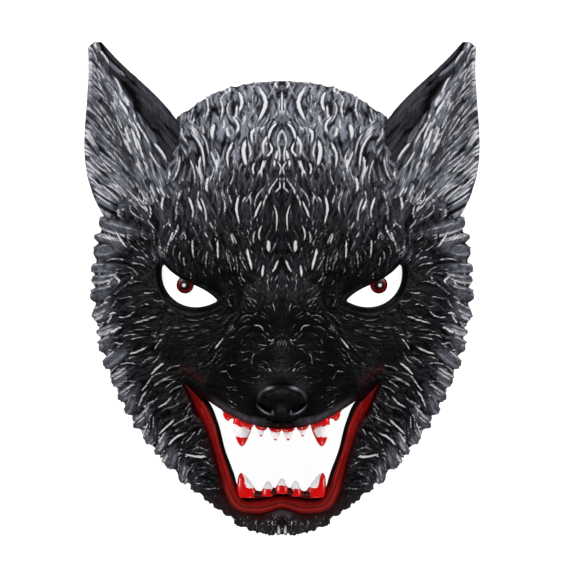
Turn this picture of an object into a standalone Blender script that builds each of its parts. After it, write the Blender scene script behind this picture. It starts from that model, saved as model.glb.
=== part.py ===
# A werewolf half mask of moulded foam: a hollow face shell with cast fur, two cupped ears,
# a nose, a pair of painted eyes with domed irises, red lips, gums and teeth.
# All lengths are in metres. The mask lies on its rim with the face up: +X is the viewer's
# right, +Y runs from the chin to the ears and +Z out of the face. The rim lies at z = 0.
import math

import bmesh
import bpy
import numpy as np

# The whole mask
MASK_HEIGHT = 0.272  # chin tuft to ear tips
HEAD_WIDTH = 0.204  # cheek to cheek, inside the tips of the fur
FACE_DEPTH = 0.056  # rim to the general face
MUZZLE_RISE = 0.045  # how far the muzzle stands out of the face
JAW_RISE = 0.030  # how far the lower jaw stands out of the face
WALL = 0.003  # thickness of the moulded shell
SEAT_GAP = 0.0003  # clearance between neighbouring pieces

# Cast fur
FUR_DEPTH = 0.0032  # height of the locks
TIP_REACH = 0.0030  # how far the tips of the outermost locks stand out of the rim
SHORT_FUR = 0.0006  # height of the short locks on the muzzle
RIM_RELIEF = 0.0004  # height of the locks at the smooth part of the rim

# Ears, measured from the middle of the root
EAR_TIP_ACROSS = 1.01  # of the tip, a share of half the head width
EAR_TIP_UP = 0.9927  # of the tip, a share of half the mask height
EAR_LENGTH = 0.073
EAR_HALF_WIDTH = 0.031
EAR_LEAN = 22.0  # degrees, outwards
EAR_RIDGE = 0.017  # height of the middle ridge
EAR_ROOT_LEVEL = 0.023  # height of the root's edges above the rim
EAR_TIP_LEVEL = 0.020  # height of the tip above the rim

# Eyes
EYE_WIDTH = 0.031
EYE_HEIGHT = 0.0245
EYE_RECESS = 0.0012  # from the lid to the eyeball
EYE_BULGE = 0.0035
EYE_PLATE = 0.0035  # thickness of the eyeball plate
IRIS_RADIUS = 0.0047
IRIS_RISE = 0.0011

# Nose
NOSE_WIDTH = 0.0285
NOSE_HEIGHT = 0.020
NOSE_RISE = 0.0055
NOSTRIL_WIDTH = 0.0105
NOSTRIL_HEIGHT = 0.0042
NOSTRIL_DEPTH = 0.0032

# Mouth
GAPE_ACROSS = 0.5245  # outer corner to outer corner, as a share of the head's width
GAPE_DOWN = 0.2684  # outer corner down to the lowest place of the lips, as a share of the height
LIP_CROWN = 0.0022  # how far the lips stand out of the face
LIP_DEPTH = 0.007  # thickness of the lips towards the hollow
GUM_DEPTH = 0.007
GUM_HEIGHT = 0.0016
GUM_SET_BACK = 0.0022  # from the lip's face back to the gum
GUM_ROUNDING = 0.0008
TOOTH_LENGTH = 0.0122  # of the upper canines
TOOTH_WIDTH = 0.0100  # of the lower canines at the root
TOOTH_DEPTH = 0.0052  # thickness of a tooth at its root
TOOTH_SET_BACK = 0.0006

# Columns: across as a share of half the head width, up as a share of half the mask height.
OUTLINE = (
    ("crown", 0.000, 0.842),
    ("crown side", 0.260, 0.822),
    ("crown shoulder", 0.475, 0.745),
    ("ear front", 0.670, 0.620),
    ("ear back", 0.845, 0.465),
    ("temple", 0.960, 0.260),
    ("upper cheek", 1.000, 0.070),
    ("cheek", 0.985, -0.120),
    ("lower cheek", 0.925, -0.310),
    ("jowl", 0.795, -0.515),
    ("jaw corner", 0.600, -0.700),
    ("jaw", 0.365, -0.860),
    ("chin side", 0.180, -0.950),
    ("chin", 0.000, -0.978),
)
CENTRE_UP = -0.16  # where the rings of the face are centred, on the bridge of the muzzle

# The dome of the face falls from its middle to the rim as (1 - reach^ROUND)^EDGE.
DOME_ROUND = 2.7
DOME_EDGE = 0.60

# Columns: across and half across as shares of half the head width, up and half up as shares
# of half the mask height, turn in degrees, rise as a share of the face depth.
FORMS = (
    ("brow", 0.43, 0.150, 0.36, 0.085, 24.0, 0.17),
    ("eye socket", 0.50, 0.000, 0.26, 0.150, 24.0, -0.15),
    ("lower lid", 0.56, -0.095, 0.24, 0.055, 18.0, 0.05),
    ("cheek bone", 0.62, -0.180, 0.28, 0.120, 20.0, 0.08),
    ("cheek ruff", 0.82, -0.200, 0.20, 0.360, -12.0, 0.13),
    ("jowl", 0.62, -0.530, 0.25, 0.220, -40.0, 0.12),
    ("ear root", 0.66, 0.480, 0.30, 0.200, -40.0, 0.10),
    ("forehead", 0.00, 0.420, 0.40, 0.320, 0.0, 0.06),
    ("brow furrow", 0.00, 0.080, 0.13, 0.170, 0.0, -0.08),
)
# Columns: up as a share of half the mask height, rise as a share of the muzzle's, half width
# as a share of half the head width.
MUZZLE_SECTIONS = (
    ("between brows", 0.080, 0.00, 0.17),
    ("bridge", -0.080, 0.27, 0.24),
    ("middle", -0.220, 0.66, 0.33),
    ("behind nose", -0.350, 0.93, 0.40),
    ("nose tip", -0.450, 1.00, 0.43),
    ("upper lip", -0.560, 0.84, 0.47),
    ("under lip", -0.680, 0.34, 0.48),
    ("gape", -0.820, 0.00, 0.46),
)
# Columns: up as a share of half the mask height, rise as a share of the jaw's, half width as
# a share of half the head width.
JAW_SECTIONS = (
    ("corners", -0.50, 0.00, 0.66),
    ("teeth", -0.68, 0.38, 0.66),
    ("lower lip", -0.85, 1.00, 0.62),
    ("chin", -0.93, 0.95, 0.54),
    ("under chin", -1.00, 0.55, 0.44),
)

# Tiers of fur, as shares of the way from the centre to the rim, and rings inside each tier.
SMOOTH_RINGS = (0.07, 0.14, 0.21, 0.28, 0.34)
FUR_TIERS = (0.41, 0.58, 0.74, 0.87, 0.962, 1.00)
TIER_RINGS = (0.05, 0.37, 0.69, 0.97)
TIER_STAGGER = 0.016  # how unevenly the tiers end, as a share of the way to the rim
COLUMNS = 104  # two for each lock, round the face

# Columns: across the eye and up the eye, as shares of its width and height from its middle.
EYE_MIDDLE = (0.490, 0.018)  # shares of half the head width and of half the mask height
EYE_LOWER = (
    ("outer top", 0.485, 0.500),
    ("out", 0.630, -0.185),
    ("under", 0.095, -0.755),
    ("inner", -0.480, -0.340),
)
EYE_UPPER = (
    ("inner", -0.480, -0.340),
    ("over", -0.190, 0.065),
    ("lid", 0.160, -0.020),
    ("outer top", 0.485, 0.500),
)
IRIS_MIDDLE = (0.100, 0.050)  # shares of the eye's width and height from its middle

# Columns: across as a share of half the gape's width and down from the corners as a share of
# the gape's height, for the outer edge of the lips and for the inner one.
CORNER_UP = -0.372  # height of the mouth's outer corners, a share of half the mask height
LIP_BAND = (
    ("corner", 0.998, 0.008, 0.985, 0.010),
    ("fold", 0.935, 0.108, 0.860, 0.080),
    ("upper side", 0.871, 0.218, 0.745, 0.148),
    ("side top", 0.781, 0.334, 0.652, 0.300),
    ("side", 0.695, 0.521, 0.579, 0.505),
    ("lower side", 0.626, 0.711, 0.488, 0.688),
    ("bend side", 0.585, 0.833, 0.445, 0.795),
    ("bend", 0.492, 0.949, 0.378, 0.863),
    ("bottom", 0.243, 0.985, 0.243, 0.870),
    ("middle", 0.000, 0.941, 0.000, 0.840),
)
UPPER_LIP = (
    ("corner", 1.000, 0.000),
    ("fold", 0.710, 0.159),
    ("side", 0.555, 0.226),
    ("front side", 0.330, 0.300),
    ("front", 0.000, 0.334),
)
# Columns: from the outer edge, 0, to the inner one, 1, and height as a share of the lips' crown.
LIP_SECTION = (
    ("outer edge", 0.00, 0.10),
    ("outer shoulder", 0.22, 0.85),
    ("crest", 0.50, 1.00),
    ("inner shoulder", 0.80, 0.35),
    ("inner edge", 1.00, -0.70),
)

# Columns: across as a share of half the gape's width, length and root width as shares of the
# named ones, and lean of the tip in degrees, outwards.
UPPER_TEETH = (
    ("upper_incisor", 0.064, 0.41, 0.64, 0.0),
    ("upper_side_incisor", 0.212, 0.31, 0.60, 0.0),
    ("upper_canine", 0.400, 1.00, 0.94, 5.0),
    ("upper_premolar", 0.552, 0.21, 0.46, 0.0),
)
LOWER_TEETH = (
    ("lower_incisor", 0.000, 0.60, 0.66, 0.0),
    ("lower_side_incisor", 0.140, 0.57, 0.64, 0.0),
    ("lower_canine", 0.332, 0.92, 1.00, 18.0),
)


def smooth_through(at, stations, values):
    """Values at 'at' on a smooth curve through the stations, which may rise or fall."""
    stations, values = np.asarray(stations, float), np.asarray(values, float)
    if stations[0] > stations[-1]:
        stations, values = stations[::-1], values[::-1]
    slopes = np.gradient(values, stations)
    at = np.clip(at, stations[0], stations[-1])
    k = np.clip(np.searchsorted(stations, at) - 1, 0, len(stations) - 2)
    span = stations[k + 1] - stations[k]
    t = (at - stations[k]) / span
    return (
        values[k] * (1 + 2 * t) * (1 - t) ** 2
        + slopes[k] * span * t * (1 - t) ** 2
        + values[k + 1] * t * t * (3 - 2 * t)
        - slopes[k + 1] * span * t * t * (1 - t)
    )


def along_curve(points, count, closed=False):
    """Points evenly spaced along a smooth curve through the given ones."""
    points = np.asarray(points, float)
    if closed:
        points = np.vstack([points[-2:], points, points[:3]])
    legs = np.linalg.norm(np.diff(points, axis=0), axis=1)
    length = np.concatenate([[0], np.cumsum(legs)])
    first, last = (length[2], length[-3]) if closed else (0, length[-1])
    at = np.linspace(first, last, count, endpoint=not closed)
    return np.stack([smooth_through(at, length, column) for column in points.T], axis=1)


def mirrored_path(half):
    """A path from the -X side to the +X side, from the points of its +X half."""
    half = np.asarray(half, float)
    middle_last = half if abs(half[-1, 0]) < 1e-9 else half[::-1]
    other = middle_last[:-1] * np.where(np.arange(half.shape[1]) == 0, -1, 1)
    return np.vstack([other, middle_last[::-1]])


def grown(loop, distance):
    """A loop in the XY plane moved outwards by a distance, or inwards if it is negative."""
    x, y = loop[:, 0], loop[:, 1]
    turn = np.sign(np.sum(x * np.roll(y, -1) - y * np.roll(x, -1)))
    edge = np.roll(loop, -1, axis=0) - loop
    edge /= np.linalg.norm(edge, axis=1)[:, None]
    normal = turn * np.stack([edge[:, 1], -edge[:, 0]], axis=1)
    before = np.roll(normal, 1, axis=0)
    mitre = (normal + before) / np.maximum(1 + np.sum(normal * before, axis=1), 0.35)[:, None]
    return loop + distance * mitre


# The form of the face

HALF_WIDTH = HEAD_WIDTH / 2
HALF_HEIGHT = MASK_HEIGHT / 2
GAPE_WIDTH = GAPE_ACROSS * HEAD_WIDTH
GAPE_HEIGHT = GAPE_DOWN * MASK_HEIGHT
CENTRE_Y = CENTRE_UP * HALF_HEIGHT


def head_outline(count):
    """The outline of the head from the front, without ears or fur tips, from the crown round by +X."""
    half = [(HALF_WIDTH * across, HALF_HEIGHT * up) for _, across, up in OUTLINE]
    other = [(-x, y) for x, y in reversed(half[1:-1])]
    return along_curve(half + other, count, closed=True)


EAR_AXIS = np.array([math.sin(math.radians(EAR_LEAN)), math.cos(math.radians(EAR_LEAN))])


def ear_point(along, across):
    """A point of the +X ear from the front, as shares of its length and its half width."""
    outwards = np.array([EAR_AXIS[1], -EAR_AXIS[0]])
    tip = np.array([EAR_TIP_ACROSS * HALF_WIDTH, EAR_TIP_UP * HALF_HEIGHT])
    root = tip - EAR_LENGTH * EAR_AXIS
    return root + along * EAR_LENGTH * EAR_AXIS + across * EAR_HALF_WIDTH * outwards


DENSE_OUTLINE = head_outline(720)
OUTLINE_BEARING = np.arctan2(DENSE_OUTLINE[:, 0], DENSE_OUTLINE[:, 1] - CENTRE_Y)
OUTLINE_RADIUS = np.hypot(DENSE_OUTLINE[:, 0], DENSE_OUTLINE[:, 1] - CENTRE_Y)


def reach(x, y):
    """How far a point lies on the way from the centre, 0, to the rim, 1."""
    bearing = np.arctan2(x, y - CENTRE_Y)
    radius = np.interp(bearing, OUTLINE_BEARING, OUTLINE_RADIUS, period=2 * math.pi)
    return np.hypot(x, y - CENTRE_Y) / radius


def lofted_rise(x, y, sections, flatness):
    """A ridge along the middle line through the sections, rounded across."""
    up = [row[1] * HALF_HEIGHT for row in sections]
    rise = smooth_through(y, up, [row[2] for row in sections])
    half = smooth_through(y, up, [row[3] * HALF_WIDTH for row in sections])
    inside = (y <= max(up)) & (y >= min(up))
    across = np.clip(1 - np.abs(x / half) ** flatness, 0, 1) ** 1.4
    return np.where(inside, np.maximum(rise, 0), 0) * across


def face_height(x, y):
    """Height of the smooth face above the rim plane."""
    x, y = np.asarray(x, float), np.asarray(y, float)
    far = np.clip(reach(x, y), 0, 1)
    height = FACE_DEPTH * (1 - far**DOME_ROUND) ** DOME_EDGE
    rise = MUZZLE_RISE * lofted_rise(x, y, MUZZLE_SECTIONS, 2)
    rise = rise + JAW_RISE * lofted_rise(x, y, JAW_SECTIONS, 3.5)
    for _, across, up, half_across, half_up, turn, share in FORMS:
        for side in (1, -1) if across else (1,):
            dx = side * x / HALF_WIDTH - across
            dy = (y / HALF_HEIGHT - up) * HALF_HEIGHT / HALF_WIDTH
            cos, sin = math.cos(math.radians(turn)), math.sin(math.radians(turn))
            along, over = dx * cos + dy * sin, dy * cos - dx * sin
            tall = half_up * HALF_HEIGHT / HALF_WIDTH
            near = np.clip(1 - (along / half_across) ** 2 - (over / tall) ** 2, 0, 1)
            rise = rise + share * FACE_DEPTH * near**2
    return height + rise * (1 - far**20)


def face_normal(x, y):
    """Outward unit normals of the smooth face. At the rim they lie level."""
    step = FUR_DEPTH / 16
    slope_x = (face_height(x + step, y) - face_height(x - step, y)) / (2 * step)
    slope_y = (face_height(x, y + step) - face_height(x, y - step)) / (2 * step)
    outwards = np.stack([x, y - CENTRE_Y, np.zeros_like(x)], axis=-1)
    outwards /= np.maximum(np.linalg.norm(outwards, axis=-1, keepdims=True), 1e-9)
    normal = np.stack([-slope_x, -slope_y, np.ones_like(x)], axis=-1)
    normal /= np.linalg.norm(normal, axis=-1, keepdims=True)
    return np.where((reach(x, y) > 0.999)[..., None], outwards, normal)


def fur_share(x, y):
    """1 where the cast fur is at full height, 0 on the eyelids, muzzle and lips and under the ears."""
    eye_x, eye_y = EYE_MIDDLE[0] * HALF_WIDTH, EYE_MIDDLE[1] * HALF_HEIGHT
    eye = np.hypot((np.abs(x) - eye_x) / (0.85 * EYE_WIDTH), (y - eye_y) / (0.95 * EYE_HEIGHT))
    corner_y = CORNER_UP * HALF_HEIGHT
    mouth = np.hypot(x / (0.42 * GAPE_WIDTH), (y - corner_y + 0.5 * GAPE_HEIGHT) / (0.52 * GAPE_HEIGHT))
    muzzle = np.hypot(x / (0.40 * HALF_WIDTH), (y - CENTRE_Y) / (0.33 * HALF_HEIGHT))
    dx, dy = np.abs(x) - ear_point(-0.12, 0)[0], y - ear_point(-0.12, 0)[1]
    along, over = dx * EAR_AXIS[0] + dy * EAR_AXIS[1], dx * EAR_AXIS[1] - dy * EAR_AXIS[0]
    ear_root = np.hypot(along / (0.36 * EAR_LENGTH), over / (1.12 * EAR_HALF_WIDTH))
    nearest = np.minimum(np.minimum(eye, mouth), np.minimum(muzzle, ear_root))
    return np.clip((nearest - 1) / 0.25, 0, 1)


# Mesh helpers


def make_object(name, points, faces, material=None):
    """A mesh object whose faces point out."""
    mesh = bpy.data.meshes.new(name)
    mesh.from_pydata([tuple(p) for p in points], [], faces)
    shaped = bmesh.new()
    shaped.from_mesh(mesh)
    bmesh.ops.recalc_face_normals(shaped, faces=shaped.faces)
    shaped.to_mesh(mesh)
    shaped.free()
    mesh.shade_smooth()
    mesh.set_sharp_from_angle(angle=math.radians(40))
    thing = bpy.data.objects.new(name, mesh)
    bpy.context.scene.collection.objects.link(thing)
    if material:
        mesh.materials.append(material)
    return thing


def lofted(name, rings, material=None):
    """A closed solid through loops of equal count, with both ends capped."""
    rings = [np.asarray(ring, float) for ring in rings]
    count = len(rings[0])
    faces = [tuple(range(count)), tuple(range((len(rings) - 1) * count, len(rings) * count))]
    for r in range(len(rings) - 1):
        for k in range(count):
            after = (k + 1) % count
            low, high = r * count, (r + 1) * count
            faces.append((low + k, low + after, high + after, high + k))
    return make_object(name, np.vstack(rings), faces, material)


def prism(name, loop, low, high):
    """A hidden upright block over a loop, for cutting and trimming."""
    rings = [np.column_stack([loop, np.full(len(loop), level)]) for level in (low, high)]
    return hidden(lofted(name, rings))


def hidden(thing):
    thing.hide_render = True
    thing.display_type = "WIRE"
    return thing


def combine(thing, other, operation="DIFFERENCE"):
    boolean = thing.modifiers.new(other.name, "BOOLEAN")
    boolean.operation = operation
    boolean.solver = "EXACT"
    boolean.object = other


def finish_material(name, colour, roughness):
    material = bpy.data.materials.new(name)
    material.use_nodes = True
    shader = material.node_tree.nodes["Principled BSDF"]
    shader.inputs["Base Color"].default_value = (*colour, 1)
    shader.inputs["Roughness"].default_value = roughness
    material.diffuse_color = (*colour, 1)
    return material


# Outlines of the openings


def bezier(rows, size, middle, count):
    """Points along a cubic curve over the table's four rows, without the last one."""
    control = np.array([(size[0] * across, size[1] * up) for _, across, up in rows])
    t = np.linspace(0, 1, count, endpoint=False)[:, None]
    weights = ((1 - t) ** 3, 3 * t * (1 - t) ** 2, 3 * t * t * (1 - t), t**3)
    return middle + sum(w * p for w, p in zip(weights, control))


def eye_middle(side):
    return np.array([side * EYE_MIDDLE[0] * HALF_WIDTH, EYE_MIDDLE[1] * HALF_HEIGHT])


def eye_outline(side, inset=0.0):
    """The eye's opening: a round lower lid and a slanting, nearly straight upper lid."""
    size, middle = (side * EYE_WIDTH, EYE_HEIGHT), eye_middle(side)
    loop = np.vstack([bezier(EYE_LOWER, size, middle, 14), bezier(EYE_UPPER, size, middle, 9)])
    return grown(loop, -inset)


def mouth_point(across, down):
    return (across * GAPE_WIDTH / 2, CORNER_UP * HALF_HEIGHT - down * GAPE_HEIGHT)


def lip_edges(count):
    """Points along the outer and the inner edge of the lips, from the -X corner under the mouth."""
    half = []
    for _, outer_across, outer_down, inner_across, inner_down in LIP_BAND:
        half.append((*mouth_point(outer_across, outer_down), *mouth_point(inner_across, inner_down)))
    path = mirrored_path(half)
    path[: len(LIP_BAND) - 1, 2] *= -1
    line = along_curve(path, count)
    return line[:, :2], line[:, 2:]


def upper_lip_edge(count):
    """The lower edge of the muzzle, from the -X corner to the +X corner."""
    half = [mouth_point(across, down) for _, across, down in UPPER_LIP]
    return along_curve(mirrored_path(half), count)


def gape_outline(inset=0.0):
    """The hole in the shell for the mouth: the upper lip's edge and the outer edge of the lips."""
    outer, _ = lip_edges(34)
    upper = upper_lip_edge(22)
    loop = np.vstack([outer, upper[::-1][1:-1]])
    return grown(loop, -inset)


def nose_middle():
    return np.array([0.0, MUZZLE_SECTIONS[4][1] * HALF_HEIGHT])


def nose_outline(inset=0.0, count=26):
    """A rounded trapezium: broad over the nostrils and a little narrower below."""
    turn = (np.arange(count) + 0.5) * 2 * math.pi / count
    x = np.sign(np.cos(turn)) * np.abs(np.cos(turn)) ** 0.8
    y = np.sign(np.sin(turn)) * np.abs(np.sin(turn)) ** 0.8
    half_width = (NOSE_WIDTH / 2 - inset) * (1 + 0.10 * y)
    return nose_middle() + np.stack([x * half_width, y * (NOSE_HEIGHT / 2 - inset)], axis=1)


# Pieces


def face_rings():
    """Shares of the way to the rim, with the tier and the place in it of each ring."""
    rings = [(share, -1, 0.0) for share in SMOOTH_RINGS]
    for tier, (start, end) in enumerate(zip(FUR_TIERS, FUR_TIERS[1:])):
        for place in TIER_RINGS:
            rings.append((start + (end - start) * place, tier, place))
    rings[-1] = (1.0, len(FUR_TIERS) - 2, 1.0)
    return rings


def face_points(clearance=0.0):
    """The shell's outer points with its cast fur, and the smooth face under them.

    With a clearance, the fur is a smooth cover over the tips of the locks.
    """
    loop = head_outline(COLUMNS)
    fur, smooth = [], []
    below_ears = np.clip((0.30 - loop[:, 1] / HALF_HEIGHT) / 0.1, 0, 1)
    column = np.arange(COLUMNS)
    mirrored_column = np.minimum(column, COLUMNS - column)
    for share, tier, place in face_rings():
        staggered = share > FUR_TIERS[0] and place < 1
        stagger = TIER_STAGGER * np.sin(2.4 * mirrored_column + 9 * share) * staggered
        share_here = share + stagger * min(1, 12 * (1 - share))
        xy = np.array([0, CENTRE_Y]) + share_here[:, None] * (loop - (0, CENTRE_Y))
        base = np.column_stack([xy, face_height(xy[:, 0], xy[:, 1])])
        normal = face_normal(xy[:, 0], xy[:, 1])
        depth = SHORT_FUR + FUR_DEPTH * fur_share(xy[:, 0], xy[:, 1]) * (0.35 + 0.65 * place)
        near_rim = np.clip((share - 0.90) / 0.08, 0, 1) * (1 - below_ears)
        depth = depth + (RIM_RELIEF - depth) * near_rim
        if place == 1.0:
            depth = RIM_RELIEF + TIP_REACH * below_ears
        if clearance:
            full = SHORT_FUR + FUR_DEPTH * fur_share(xy[:, 0], xy[:, 1])
            lift = np.maximum(full, depth) + clearance
        else:
            lift = depth * ((column + tier) % 2) * (tier >= 0)
        base[:, 2] = np.maximum(base[:, 2], 0) * (share < 1)
        fur.append(base + normal * lift[:, None])
        smooth.append(base)
    return np.array(fur), np.array(smooth)


def closed_face(name, clearance):
    """The outer form of the face as a hidden solid, for seating pieces on it."""
    fur, _ = face_points(clearance)
    under = fur[-1] * (1, 1, 0) - (0, 0, FACE_DEPTH / 3)
    tip = np.array([[0, CENTRE_Y, face_height(0.0, CENTRE_Y) + clearance]])
    return hidden(with_pole(name, list(fur) + [under], tip))


def with_pole(name, rings, tip):
    """Loops from a pole outwards, with the last loop capped."""
    count = len(rings[0])
    points = np.vstack([tip] + rings)
    faces = [(0, 1 + k, 1 + (k + 1) % count) for k in range(count)]
    for r in range(len(rings) - 1):
        for k in range(count):
            after = (k + 1) % count
            low, high = 1 + r * count, 1 + (r + 1) * count
            faces.append((low + k, high + k, high + after, low + after))
    faces.append(tuple(range(1 + (len(rings) - 1) * count, 1 + len(rings) * count)))
    return make_object(name, points, faces)


def face_shell(material):
    """The moulded shell: furred outside, smooth inside, with a flat rim between them."""
    fur, smooth = face_points()
    rings = len(fur)
    half = COLUMNS // 2
    kept = list(range(0, rings - 1, 2)) + [rings - 1]
    inner = []
    for r in kept:
        base = smooth[r][::2]
        normal = face_normal(base[:, 0], base[:, 1])
        moved = base - normal * WALL
        moved[:, 2] = np.maximum(moved[:, 2], 0) * (r < rings - 1)
        inner.append(moved)
    top = np.array([0, CENTRE_Y, face_height(0.0, CENTRE_Y)])
    points = np.vstack([top[None], np.vstack(fur), (top - (0, 0, WALL))[None], np.vstack(inner)])
    outer_start, inner_pole = 1, 1 + rings * COLUMNS
    inner_start = inner_pole + 1
    faces = []
    for k in range(COLUMNS):
        after = (k + 1) % COLUMNS
        faces.append((0, outer_start + k, outer_start + after))
        for r in range(rings - 1):
            low, high = outer_start + r * COLUMNS, outer_start + (r + 1) * COLUMNS
            faces.append((low + k, high + k, high + after, low + after))
    for k in range(half):
        after = (k + 1) % half
        faces.append((inner_pole, inner_start + after, inner_start + k))
        for r in range(len(kept) - 1):
            low, high = inner_start + r * half, inner_start + (r + 1) * half
            faces.append((low + k, low + after, high + after, high + k))
        rim, edge = outer_start + (rings - 1) * COLUMNS, inner_start + (len(kept) - 1) * half
        second, third = rim + (2 * k + 1) % COLUMNS, rim + (2 * k + 2) % COLUMNS
        faces.append((rim + 2 * k, second, edge + k))
        faces.append((second, third, edge + after, edge + k))
    return make_object("face_shell", points, faces, material)


# Columns: along the ear, then its outer and inner edge, as shares of the ear's length and half width.
EAR_SECTIONS = (
    ("sunk root", -0.34, 0.74, -0.96),
    ("root", -0.04, 0.99, -0.96),
    ("lower", 0.27, 0.85, -0.80),
    ("middle", 0.44, 0.68, -0.66),
    ("upper", 0.63, 0.46, -0.46),
    ("under tip", 0.83, 0.24, -0.24),
    ("tip", 1.00, 0.09, -0.09),
)
# Columns: place from the inner edge, -1, to the outer one, 1, and height as a share of the ridge.
EAR_PROFILE = (
    ("inner edge", -1.00, -0.30),
    ("back", -0.72, 0.30),
    ("back rise", -0.40, 0.76),
    ("ridge", -0.06, 1.00),
    ("ridge front", 0.10, 0.86),
    ("into the cup", 0.26, 0.22),
    ("cup", 0.50, -0.10),
    ("cup wall", 0.78, 0.02),
    ("outer edge", 1.00, 0.26),
)


def ear(side, material):
    """A cupped ear: its rounded back faces the crown and its hollow faces outwards."""
    at = [row[1] for row in EAR_SECTIONS]
    rings = []
    for share in np.linspace(at[0], at[-1], 12):
        outer = float(smooth_through(share, at, [row[2] for row in EAR_SECTIONS]))
        inner = float(smooth_through(share, at, [row[3] for row in EAR_SECTIONS]))
        level = EAR_ROOT_LEVEL + (EAR_TIP_LEVEL - EAR_ROOT_LEVEL) * max(share, 0)
        ridge = EAR_RIDGE * (1 - 0.93 * max(share, 0) ** 2.2)
        front, back = [], []
        for _, place, height in EAR_PROFILE:
            t = inner + (outer - inner) * (place + 1) / 2
            xy = ear_point(share, t)
            z = level + ridge * height
            front.append((side * xy[0], xy[1], z))
            back.append((side * xy[0], xy[1], z - 1.25 * WALL))
        rings.append(front + back[::-1])
    return lofted(f"{side_name(side)}_ear", rings, material)


def side_name(side):
    return "right" if side > 0 else "left"


def eye_surface(side, x, y):
    """Height of the eyeball: it leans with the face and bulges in its middle."""
    mid_x, mid_y = eye_middle(side)
    step = EYE_WIDTH / 4
    here = face_height(mid_x, mid_y)
    slope_x = (face_height(mid_x + step, mid_y) - face_height(mid_x - step, mid_y)) / (2 * step)
    slope_y = (face_height(mid_x, mid_y + step) - face_height(mid_x, mid_y - step)) / (2 * step)
    dx, dy = x - mid_x, y - mid_y
    far = (dx / EYE_WIDTH) ** 2 + (dy / EYE_HEIGHT) ** 2
    return here + slope_x * dx + slope_y * dy - EYE_RECESS + EYE_BULGE * (0.25 - far)


def eye(side, material):
    """The eyeball plate, fitted in the eye's opening."""
    loop = eye_outline(side, SEAT_GAP)
    centre = loop.mean(axis=0)
    rings = []
    for shrink, drop in ((1.0, EYE_PLATE), (1.0, 0.0), (0.7, 0.0), (0.4, 0.0), (0.1, 0.0)):
        xy = centre + shrink * (loop - centre)
        rings.append(np.column_stack([xy, eye_surface(side, xy[:, 0], xy[:, 1]) - drop]))
    return lofted(f"{side_name(side)}_eye", rings, material)


def iris(side, material):
    """A domed iris on the eyeball, cut off above by the upper lid."""
    middle = eye_middle(side) + np.array([side * IRIS_MIDDLE[0] * EYE_WIDTH, IRIS_MIDDLE[1] * EYE_HEIGHT])
    turn = np.linspace(0, 2 * math.pi, 20, endpoint=False)
    circle = np.column_stack([np.cos(turn), np.sin(turn)])
    rings = []
    for radius, rise in ((1.0, 0.0), (1.0, 0.35), (0.75, 0.75), (0.4, 0.95), (0.08, 1.0)):
        xy = middle + circle * IRIS_RADIUS * radius
        z = eye_surface(side, xy[:, 0], xy[:, 1]) + SEAT_GAP + rise * IRIS_RISE
        rings.append(np.column_stack([xy, z]))
    piece = lofted(f"{side_name(side)}_iris", rings, material)
    trim = prism(f"{piece.name}_trim", eye_outline(side, SEAT_GAP), 0, HIGH)
    combine(piece, trim, "INTERSECT")
    return piece


def nose(material):
    """The bare nose, set into the front of the muzzle, with two comma-shaped nostrils."""
    middle = nose_middle()
    rings = []
    for inset, rise, drop in (
        (0.0, 0.0, 1.3 * WALL),
        (0.0, 0.10, 0.0),
        (0.06, 0.55, 0.0),
        (0.20, 0.90, 0.0),
        (0.55, 1.0, 0.0),
        (0.92, 0.96, 0.0),
    ):
        loop = middle + (nose_outline(SEAT_GAP) - middle) * (1 - inset)
        z = face_height(loop[:, 0], loop[:, 1]) + rise * NOSE_RISE - drop
        rings.append(np.column_stack([loop, z]))
    piece = lofted("nose", rings, material)
    for side in (1, -1):
        centre = middle + (side * 0.31 * NOSE_WIDTH, -0.27 * NOSE_HEIGHT)
        level = float(face_height(*centre)) + 0.9 * NOSE_RISE
        turn = np.linspace(0, 2 * math.pi, 12, endpoint=False)
        oval = np.column_stack([np.cos(turn) * NOSTRIL_WIDTH / 2, np.sin(turn) * NOSTRIL_HEIGHT / 2])
        lift = 0.45 * side * oval[:, 0]
        wall_rings = []
        for wide, depth in ((0.35, 1.0), (0.85, 0.6), (1.0, 0.0), (1.25, -2.0)):
            points = centre + oval * wide + np.column_stack([np.zeros(12), lift * wide])
            wall_rings.append(np.column_stack([points, np.full(12, level - depth * NOSTRIL_DEPTH)]))
        combine(piece, hidden(lofted(f"nostril_cutter_{side}", wall_rings)))
    return piece


def lips(material):
    """The red lips: a rounded band along the sides and the bottom of the mouth."""
    outer, inner = lip_edges(34)
    upper = upper_lip_edge(60)
    across = inner - outer
    width = np.linalg.norm(across, axis=1, keepdims=True)
    outer = outer + across / width * SEAT_GAP
    limit = np.interp(inner[:, 0], upper[:, 0], upper[:, 1]) - 1.5 * SEAT_GAP
    inner[:, 1] = np.minimum(inner[:, 1], limit)
    for end, beside in ((0, 1), (-1, -2)):
        outer[end] = (outer[end] + outer[beside]) / 2
        inner[end] = (inner[end] + inner[beside]) / 2
    rings = []
    for start, end in zip(outer, inner):
        top, under = [], []
        for _, share, crown in LIP_SECTION:
            xy = start + share * (end - start)
            level = float(face_height(*xy))
            top.append((*xy, level + crown * LIP_CROWN))
            under.append((*xy, level - min(LIP_DEPTH, 0.5 * level)))
        rings.append(top + [under[-1], under[0]])
    return lofted("lips", rings, material)


def gum_line(upper, count):
    """Points along a gum's middle, seen from the front, and the direction its teeth point in."""
    if upper:
        edge = upper_lip_edge(60)
        keep = np.abs(edge[:, 0]) < 0.62 * GAPE_WIDTH / 2
        line = along_curve(edge[keep], count) + (0, -SEAT_GAP - GUM_HEIGHT / 2)
        return line
    _, inner = lip_edges(34)
    keep = np.abs(inner[:, 0]) < 0.44 * GAPE_WIDTH / 2
    return along_curve(inner[keep], count) + (0, 1.5 * SEAT_GAP + GUM_HEIGHT / 2)


def gum_level(x, y):
    """Height of the front of the gum."""
    return face_height(x, y) - GUM_SET_BACK


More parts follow.
